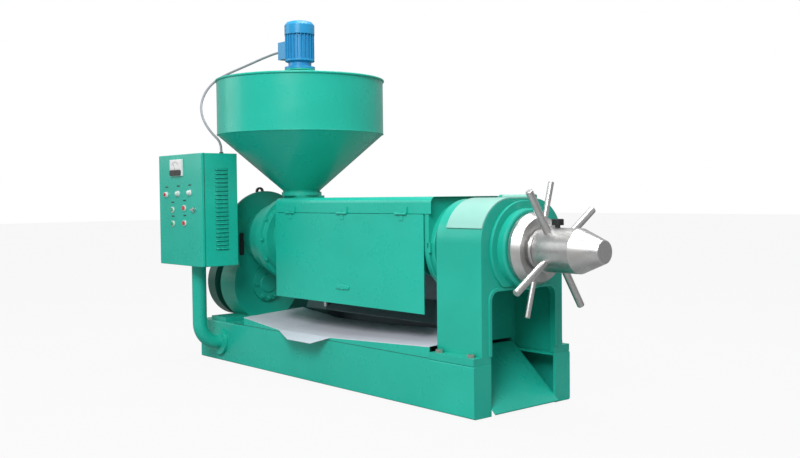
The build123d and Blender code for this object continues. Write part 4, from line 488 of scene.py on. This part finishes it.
conduitData = bpy.data.curves.new("conduitHose", "CURVE")
conduitData.dimensions = "3D"
conduitLine = conduitData.splines.new("NURBS")
conduitLine.points.add(len(conduitLook["route"]) - 1)
routePoints = np.array(conduitLook["route"])
conduitLine.points.foreach_set("co", np.c_[routePoints, np.ones(len(routePoints))].ravel())
conduitLine.order_u = conduitLook["order"]
conduitLine.use_endpoint_u = True
conduitData.resolution_u = conduitLook["resolution"]
conduitData.bevel_depth = conduitLook["diameter"] / 2
conduitData.bevel_resolution = conduitLook["sides"]
conduitHose = bpy.data.objects.new("conduitHose", conduitData)
bpy.context.scene.collection.objects.link(conduitHose)
conduitHose.data.materials.append(greySleeve)
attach(conduitHose, "frame")
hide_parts("conduit")
print("conduit laid")


# surfaces: every piece below is a grid of points, worked out as whole arrays and joined into quads
mergeDistance = 1e-6


def gridPiece(name, points, material, body, loopRows=False, loopColumns=False, smooth=True):
    # points is rows by columns by xyz; each quad joins a point to the next in its row and in its column
    # a fourth axis in front holds several grids that become one piece
    points = points if points.ndim == 4 else points[None]
    rows, columns = points.shape[1:3]
    row = np.arange(rows if loopRows else rows - 1)[:, None]
    column = np.arange(columns if loopColumns else columns - 1)[None, :]
    nextRow = (row + 1) % rows
    nextColumn = (column + 1) % columns
    quads = np.stack([row * columns + column, nextRow * columns + column,
                      nextRow * columns + nextColumn, row * columns + nextColumn], axis=-1).reshape(-1, 4)
    quads = (quads[None] + rows * columns * np.arange(len(points))[:, None, None]).reshape(-1, 4)
    mesh = bpy.data.meshes.new(name)
    mesh.from_pydata(points.reshape(-1, 3).tolist(), [], quads.tolist())
    mesh.polygons.foreach_set("use_smooth", np.full(len(quads), smooth))
    mesh.materials.append(material)
    tidy = bmesh.new()
    tidy.from_mesh(mesh)
    bmesh.ops.remove_doubles(tidy, verts=tidy.verts, dist=mergeDistance)
    bmesh.ops.recalc_face_normals(tidy, faces=tidy.faces)
    tidy.to_mesh(mesh)
    tidy.free()
    piece = bpy.data.objects.new(name, mesh)
    bpy.context.scene.collection.objects.link(piece)
    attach(piece, body)
    return piece


beadLook = {"ripple": 0.16, "tip": 0.05, "sides": 8}


def beadGrid(line, radius, pitch, closed):
    # a weld bead: a circle carried along the line, its radius rippled by a sine of the distance travelled
    line = np.asarray(line, float)
    ahead = (np.roll(line, -1, axis=0) - np.roll(line, 1, axis=0)) if closed else np.gradient(line, axis=0)
    ahead /= np.linalg.norm(ahead, axis=1)[:, None]
    steps = np.linalg.norm(np.diff(line, axis=0), axis=1)
    travelled = np.r_[0, np.cumsum(steps)]
    reference = np.where(np.abs(ahead[:, 2:3]) < 0.9, (0.0, 0.0, 1.0), (1.0, 0.0, 0.0))
    sideways = np.cross(ahead, reference)
    sideways /= np.linalg.norm(sideways, axis=1)[:, None]
    above = np.cross(sideways, ahead)
    size = radius * (1 + beadLook["ripple"] * np.sin(2 * np.pi * travelled / pitch))
    if not closed:
        size[[0, -1]] = radius * beadLook["tip"]
    angle = np.linspace(0, 2 * np.pi, beadLook["sides"], endpoint=False)
    spoke = np.cos(angle)[None, :, None] * sideways[:, None] + np.sin(angle)[None, :, None] * above[:, None]
    return line[:, None] + size[:, None, None] * spoke


def ringLine(centre, radius, axis, steps):
    # points of a circle about an axis: centre plus radius times cosine and sine along two cross directions
    angle = np.linspace(0, 2 * np.pi, steps, endpoint=False)
    axis = np.asarray(axis, float)
    sideways = np.cross(axis, (0.0, 0.0, 1.0) if abs(axis[2]) < 0.9 else (0.0, 1.0, 0.0))
    across = np.cross(axis, sideways)
    spoke = np.cos(angle)[:, None] * sideways + np.sin(angle)[:, None] * across
    return np.asarray(centre) + radius * spoke


plateSection = {"share": (0.0, 0.3, 0.55, 0.75, 0.88, 0.96, 1.0, 1.0, 0.0),
                "depth": (1.0, 1.0, 1.0, 1.0, 1.0, 0.93, 0.7, 0.0, 0.0), "crowned": 6}


def domedPlate(centre, outward, upward, halfWidth, halfHeight, thickness, corner=4.0, crown=0.0, steps=48):
    # a superellipse outline swept from the middle of the front, over its rounded rim, to the back
    outward, upward = np.asarray(outward, float), np.asarray(upward, float)
    sideways = np.cross(upward, outward)
    angle = np.linspace(0, 2 * np.pi, steps, endpoint=False)
    reach = (np.abs(np.cos(angle)) ** corner + np.abs(np.sin(angle)) ** corner) ** (-1 / corner)
    share = np.array(plateSection["share"])
    depth = np.array(plateSection["depth"]) * thickness
    crowned = slice(plateSection["crowned"])
    depth[crowned] += crown * (1 - share[crowned] ** 2)
    across = share[:, None] * (reach * np.cos(angle))[None, :] * halfWidth
    high = share[:, None] * (reach * np.sin(angle))[None, :] * halfHeight
    return (np.asarray(centre, float) + across[..., None] * sideways + high[..., None] * upward
            + depth[:, None, None] * outward)


lensLook = {"waveSize": 120.0, "waveDetail": 1.0, "waveEdges": (0.3, 0.7), "roughness": 0.08, "coat": 1.0,
            "coatRoughness": 0.03, "bump": 0.3}


def glossyLens(name, colour, darker):
    # coloured lens with a clear coat over a fine uneven wave in colour and height
    material, tree, shader = newMaterial(name)
    place = addNode(tree, "TexCoord").outputs["Object"]
    wave = stretch(tree, noise(tree, place, lensLook["waveSize"], lensLook["waveDetail"]),
                   *lensLook["waveEdges"])
    tree.links.new(mixed(tree, wave, colour, darker), shader.inputs["Base Color"])
    shader.inputs["Roughness"].default_value = lensLook["roughness"]
    shader.inputs["Coat Weight"].default_value = lensLook["coat"]
    shader.inputs["Coat Roughness"].default_value = lensLook["coatRoughness"]
    bumpFrom(tree, wave, lensLook["bump"], bumpDepth["lens"], shader)
    return material


redLens = glossyLens("redLens", (0.55, 0.03, 0.03, 1), (0.35, 0.01, 0.01, 1))
paleLens = glossyLens("paleLens", (0.62, 0.75, 0.70, 1), (0.42, 0.6, 0.54, 1))

# cabinet door: lamp lenses, the dark lower half of the meter, its dial and a small bare plate over each row
lampLook = {"places": [(-1.196, 1.074), (-1.042, 1.079), (-0.894, 1.083)], "radius": 0.0125, "front": -0.635,
            "thickness": 0.003, "crown": 0.005, "outline": 2.0}
cabinetOut = (0, -1, 0)
skyward = (0, 0, 1)
for number, (lampX, lampZ) in enumerate(lampLook["places"]):
    lensGrid = domedPlate((lampX, lampLook["front"], lampZ), cabinetOut, skyward, lampLook["radius"],
                          lampLook["radius"], lampLook["thickness"], lampLook["outline"],
                          lampLook["crown"])
    gridPiece(f"lampLens{number + 1}", lensGrid, paleLens if number else redLens, "cabinet_door",
              loopColumns=True)

meterLook = {"front": -0.633, "middle": -1.053, "capHeight": 1.2085, "capHalf": (0.073, 0.0175),
             "dialHeight": 1.2575, "dialHalf": (0.068, 0.0295), "dialThickness": 0.0012,
             "capThickness": 0.004, "outline": 9.0}
capCentre = (meterLook["middle"], meterLook["front"], meterLook["capHeight"])
gridPiece("meterCap", domedPlate(capCentre, cabinetOut, skyward, *meterLook["capHalf"],
                                 meterLook["capThickness"], meterLook["outline"]),
          blackPlastic, "cabinet_door", loopColumns=True)
dialCentre = (meterLook["middle"], meterLook["front"], meterLook["dialHeight"])
gridPiece("meterDial", domedPlate(dialCentre, cabinetOut, skyward, *meterLook["dialHalf"],
                                  meterLook["dialThickness"], meterLook["outline"]),
          paleFace, "cabinet_door", loopColumns=True)

markLook = {"ticks": 11, "sweep": 48, "every": 5, "pivot": 1.222, "inner": 0.048, "outer": 0.058,
            "longOuter": 0.061, "width": 0.0012, "needleTurn": -0.62, "needlePivot": 1.229,
            "needleLength": 0.046, "needleWidth": 0.0016, "proud": 0.0006}


def dialMark(middle, height, front, angle, inner, outer, width):
    # a flat bar between two distances from the needle's pivot, a hair proud of the dial
    along = np.array([np.sin(angle), 0, np.cos(angle)])
    aside = np.array([np.cos(angle), 0, -np.sin(angle)]) * width / 2
    pivot = np.array([middle, front, height])
    edge = np.array([pivot + along * inner - aside, pivot + along * inner + aside,
                     pivot + along * outer + aside, pivot + along * outer - aside])
    lift = np.array([0, -markLook["proud"], 0])
    return np.stack([edge, edge + lift])


def closedBar(name, section, material, body):
    # two matching four-sided outlines, joined and capped
    mesh = bpy.data.meshes.new(name)
    quads = [(0, 1, 2, 3), (7, 6, 5, 4), (0, 4, 5, 1), (1, 5, 6, 2), (2, 6, 7, 3), (3, 7, 4, 0)]
    count = len(section)
    points = np.concatenate([part.reshape(-1, 3) for part in section])
    faces = [tuple(corner + 8 * number for corner in quad) for number in range(count) for quad in quads]
    mesh.from_pydata(points.tolist(), [], faces)
    mesh.materials.append(material)
    tidy = bmesh.new()
    tidy.from_mesh(mesh)
    bmesh.ops.recalc_face_normals(tidy, faces=tidy.faces)
    tidy.to_mesh(mesh)
    tidy.free()
    piece = bpy.data.objects.new(name, mesh)
    bpy.context.scene.collection.objects.link(piece)
    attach(piece, body)
    return piece


dialFront = meterLook["front"] - meterLook["dialThickness"]
tickAngles = np.radians(np.linspace(-markLook["sweep"], markLook["sweep"], markLook["ticks"]))
tickBars = [dialMark(meterLook["middle"], markLook["pivot"], dialFront, angle, markLook["inner"],
                     markLook["outer"] if number % markLook["every"] else markLook["longOuter"],
                     markLook["width"])
            for number, angle in enumerate(tickAngles)]
tickBars.append(dialMark(meterLook["middle"], markLook["needlePivot"], dialFront, markLook["needleTurn"], 0.0,
                         markLook["needleLength"], markLook["needleWidth"]))
closedBar("dialMarks", tickBars, blackPlastic, "cabinet_door")

plateLook = {"front": -0.619, "half": (0.018, 0.0038), "thickness": 0.0012, "above": 0.047, "outline": 8.0,
             "buttons": [(-1.118, 0.978), (-0.964, 0.989), (-1.116, 0.890), (-0.964, 0.895)]}
platePlaces = [(x, z + plateLook["above"]) for x, z in lampLook["places"] + plateLook["buttons"]]
for number, (plateX, plateZ) in enumerate(platePlaces):
    plateGrid = domedPlate((plateX, plateLook["front"], plateZ), cabinetOut, skyward, *plateLook["half"],
                           plateLook["thickness"], plateLook["outline"])
    gridPiece(f"barePlate{number + 1}", plateGrid, darkSteel, "cabinet_door", loopColumns=True)
print("cabinet door dressed")


def boxBar(low, high):
    # the two four-sided ends of an upright box between two corners
    low, high = np.asarray(low, float), np.asarray(high, float)
    outline = np.array([(low[0], low[2]), (high[0], low[2]), (high[0], high[2]), (low[0], high[2])])
    return np.stack([np.insert(outline, 1, depth, axis=1) for depth in (low[1], high[1])])


# rubber strip all round behind the cabinet door, seen as a dark line: partly a gasket and partly painted
# shade of the gap between door and shell
doorBox = np.array(nodes["cabinet_door"].bound_box)
doorLow, doorHigh = doorBox.min(axis=0), doorBox.max(axis=0)
gasketAndGapShadeLook = {"front": -0.6015, "back": -0.5985, "proud": 0.0008, "inside": 0.006, "short": 0.007}
gasketAndGapShadeEdges = []
for side in (0, 1):
    edgeX = (doorLow[0], doorHigh[0])[side]
    edgeZ = (doorLow[2], doorHigh[2])[side]
    reach = sorted((gasketAndGapShadeLook["proud"] * (2 * side - 1), -gasketAndGapShadeLook["inside"] * (2 * side - 1)))
    gasketAndGapShadeEdges.append(boxBar((edgeX + reach[0], gasketAndGapShadeLook["front"], doorLow[2]),
                              (edgeX + reach[1], gasketAndGapShadeLook["back"], doorHigh[2])))
    gasketAndGapShadeEdges.append(boxBar((doorLow[0] + gasketAndGapShadeLook["short"], gasketAndGapShadeLook["front"], edgeZ + reach[0]),
                              (doorHigh[0] - gasketAndGapShadeLook["short"], gasketAndGapShadeLook["back"], edgeZ + reach[1])))
closedBar("doorGasketAndGapShade", gasketAndGapShadeEdges, beltRubber, "frame")

# louvre hoods on the cabinet's side: a quarter ellipse drops from the wall over each slot and closes at
# its ends, where the distance from the wall is scaled by the root of one minus the share to the eighth
hoodLook = {"wall": -0.748, "front": -0.526, "back": -0.438, "bottom": 0.737, "top": 1.222, "count": 20,
            "proud": 0.0075, "above": 0.0075, "drop": 0.0105, "inner": 0.78, "turnSteps": 7, "widthSteps": 17,
            "endPower": 8}
hoodTurn = np.linspace(0, np.pi / 2, hoodLook["turnSteps"])
hoodOut = hoodLook["proud"] * np.sin(hoodTurn)
hoodDown = hoodLook["above"] - hoodLook["drop"] * (1 - np.cos(hoodTurn))
hoodProfile = np.c_[np.r_[hoodOut, hoodOut[::-1] * hoodLook["inner"]], np.r_[hoodDown, hoodDown[::-1]]]
hoodShare = np.sin(np.linspace(-np.pi / 2, np.pi / 2, hoodLook["widthSteps"]))
hoodSwell = np.sqrt(1 - np.abs(hoodShare) ** hoodLook["endPower"])
hoodGrid = np.empty((hoodLook["count"], len(hoodShare), len(hoodProfile), 3))
hoodGrid[..., 0] = hoodLook["wall"] + hoodSwell[:, None] * hoodProfile[None, :, 0]
hoodGrid[..., 1] = ((hoodLook["front"] + hoodLook["back"]) / 2
                    + (hoodLook["back"] - hoodLook["front"]) / 2 * hoodShare)[:, None]
hoodGrid[..., 2] = (np.linspace(hoodLook["bottom"], hoodLook["top"], hoodLook["count"])[:, None, None]
                    + hoodProfile[None, None, :, 1])
gridPiece("louvreHoods", hoodGrid, greenSheet, "frame", loopColumns=True)
print("cabinet side dressed")

# plate that closes the cover's end round the cage: square above the press axis, half round below it
plateEnd = {"left": 0.841, "right": 0.871, "half": 0.2497, "rise": 0.2542, "axis": 0.7865, "corner": 20.0,
            "bore": 0.125, "edge": 0.003, "steps": 192}
plateTurn = np.linspace(0, 2 * np.pi, plateEnd["steps"], endpoint=False)
plateCos, plateSin = np.abs(np.cos(plateTurn)), np.sin(plateTurn)
squareReach = ((plateCos / plateEnd["half"]) ** plateEnd["corner"]
               + (np.abs(plateSin) / plateEnd["rise"]) ** plateEnd["corner"]) ** (-1 / plateEnd["corner"])
plateReach = np.where(plateSin > 0, squareReach, plateEnd["half"])
boreReach = np.full(plateEnd["steps"], plateEnd["bore"])
plateRings = [(plateEnd["left"], plateReach), (plateEnd["right"] - plateEnd["edge"], plateReach),
              (plateEnd["right"], plateReach - plateEnd["edge"]), (plateEnd["right"], boreReach),
              (plateEnd["left"], boreReach)]
plateGrid = np.stack([np.c_[np.full(len(reach), x), reach * np.cos(plateTurn),
                            plateEnd["axis"] + reach * plateSin] for x, reach in plateRings])
gridPiece("coverEndPlate", plateGrid, greenCasting, "frame", loopRows=True, loopColumns=True,
          smooth=False)

# sheet that carries the sloping deflector on towards the gear case, in the deflector's own section
wingLook = {"start": -0.70, "endDepth": 0.0005, "digits": 5}
deflectorMesh = nodes["rear_deflector"].data
deflectorPoints = np.empty(len(deflectorMesh.vertices) * 3)
deflectorMesh.vertices.foreach_get("co", deflectorPoints)
deflectorPoints = deflectorPoints.reshape(-1, 3)
deflectorEnd = deflectorPoints[deflectorPoints[:, 0] < deflectorPoints[:, 0].min() + wingLook["endDepth"]]
section = np.unique(np.round(deflectorEnd[:, 1:], wingLook["digits"]), axis=0)
middle = section.mean(axis=0)
section = section[np.argsort(np.arctan2(section[:, 1] - middle[1], section[:, 0] - middle[0]))]
wingEnd = float(deflectorEnd[0, 0])
wingRings = [(wingLook["start"], 0), (wingLook["start"], 1), (wingEnd, 1), (wingEnd, 0)]
wingGrid = np.stack([np.c_[np.full(len(section), x), middle + (section - middle) * share]
                     for x, share in wingRings])
gridPiece("deflectorWing", wingGrid, darkSheet, "frame", loopColumns=True, smooth=False)

# painted shadow: a dark strip under the raised lip of the base, where the lip's shadow and the gap beneath it
# fall
lipShadowLook = {"start": -0.86, "end": 0.97, "low": 0.2525, "high": 0.2555, "front": -0.3454, "back": -0.344}
closedBar("lipPaintedShadow", [boxBar((lipShadowLook["start"], lipShadowLook["front"], lipShadowLook["low"]),
                             (lipShadowLook["end"], lipShadowLook["back"], lipShadowLook["high"]))],
          guardPaintedShade, "frame")
print("end plate, wing and seam placed")

# black plate on the face of the gear case
blackPlateLook = {"centre": (-1.0, -0.194, 0.745), "half": (0.018, 0.072), "thickness": 0.004,
              "outward": (1, 0, 0), "outline": 8.0}
gridPiece("gearCaseBlackPlate", domedPlate(blackPlateLook["centre"], blackPlateLook["outward"], skyward, *blackPlateLook["half"],
                                    blackPlateLook["thickness"], blackPlateLook["outline"]),
          blackPlastic, "frame", loopColumns=True)

# weld beads along the seams of the hopper and up the corners of the base
hopperLook = {"middle": (-0.5865, 0.0), "seamTurn": 115, "drumRadius": 0.5195, "shoulder": 1.4400,
              "neckRadius": 0.1145, "neck": 1.0850}
cornerLook = {"x": 1.2785, "y": 0.3445, "low": 0.006, "high": 0.243, "steps": 120}
seamTurn = np.radians(hopperLook["seamTurn"])
seamWay = np.array([np.cos(seamTurn), np.sin(seamTurn)])


def hopperPoint(radius, height):
    # place on the hopper's seam at a radius and a height
    return (*(np.array(hopperLook["middle"]) + radius * seamWay), height)


def straightLine(start, end, steps):
    # points that share the way from start to end evenly
    share = np.linspace(0, 1, steps)[:, None]
    return np.asarray(start, float) * (1 - share) + np.asarray(end, float) * share


def cornerLine(side):
    # up the outer corner of the base, on the front for side -1 and on the rear for side 1
    return straightLine((cornerLook["x"], side * cornerLook["y"], cornerLook["low"]),
                        (cornerLook["x"], side * cornerLook["y"], cornerLook["high"]),
                        cornerLook["steps"])


# each entry: line, radius of the bead, ripple pitch, closed or not
welds = {
    "shoulderWeld": (ringLine((*hopperLook["middle"], hopperLook["shoulder"]), hopperLook["drumRadius"],
                              (0, 0, 1), 720), 0.0028, 0.010, True),
    "drumWeld": (straightLine(hopperPoint(hopperLook["drumRadius"], 1.445),
                              hopperPoint(hopperLook["drumRadius"], 1.768), 130), 0.0024, 0.008, False),
    "coneWeld": (straightLine(hopperPoint(0.516, 1.437), hopperPoint(0.117, 1.088), 200), 0.0024, 0.008,
                 False),
    "neckWeld": (ringLine((*hopperLook["middle"], hopperLook["neck"]), hopperLook["neckRadius"], (0, 0, 1),
                          240), 0.0032, 0.010, True),
    "cornerWeldFront": (cornerLine(-1), 0.0030, 0.008, False),
    "cornerWeldRear": (cornerLine(1), 0.0030, 0.008, False),
}
for weldName, (weldLine, weldRadius, weldPitch, weldClosed) in welds.items():
    gridPiece(weldName, beadGrid(weldLine, weldRadius, weldPitch, weldClosed), greenSheet, "frame",
              loopRows=weldClosed, loopColumns=True)
print("weld beads laid")

floorHalf = studio["floorHalf"]
floorMesh = bpy.data.meshes.new("studioFloor")
floorMesh.from_pydata([(-floorHalf, -floorHalf, 0), (floorHalf, -floorHalf, 0), (floorHalf, floorHalf, 0),
                       (-floorHalf, floorHalf, 0)], [], [(0, 1, 2, 3)])
floor = bpy.data.objects.new("studioFloor", floorMesh)
bpy.context.scene.collection.objects.link(floor)
floorMaterial, floorTree, floorShader = newMaterial("floorPaint")
floorShader.inputs["Base Color"].default_value = studio["floorColour"]
floorShader.inputs["Roughness"].default_value = studio["floorRoughness"]
# the floor is white to the eye, with a soft shadow left in it, and a duller grey where it lights the press
floorGlow = addNode(floorTree, "Emission", values={"Strength": 1.0})
floorRay = addNode(floorTree, "LightPath")
floorShare = combine(floorTree, "MULTIPLY", floorRay.outputs["Is Camera Ray"], studio["floorGlow"])
floorMix = addNode(floorTree, "MixShader", links={0: floorShare, 1: floorShader.outputs[0],
                                                  2: floorGlow.outputs[0]})
floorTree.links.new(floorMix.outputs[0], floorTree.nodes["Material Output"].inputs["Surface"])
floor.data.materials.append(floorMaterial)
print("floor placed")
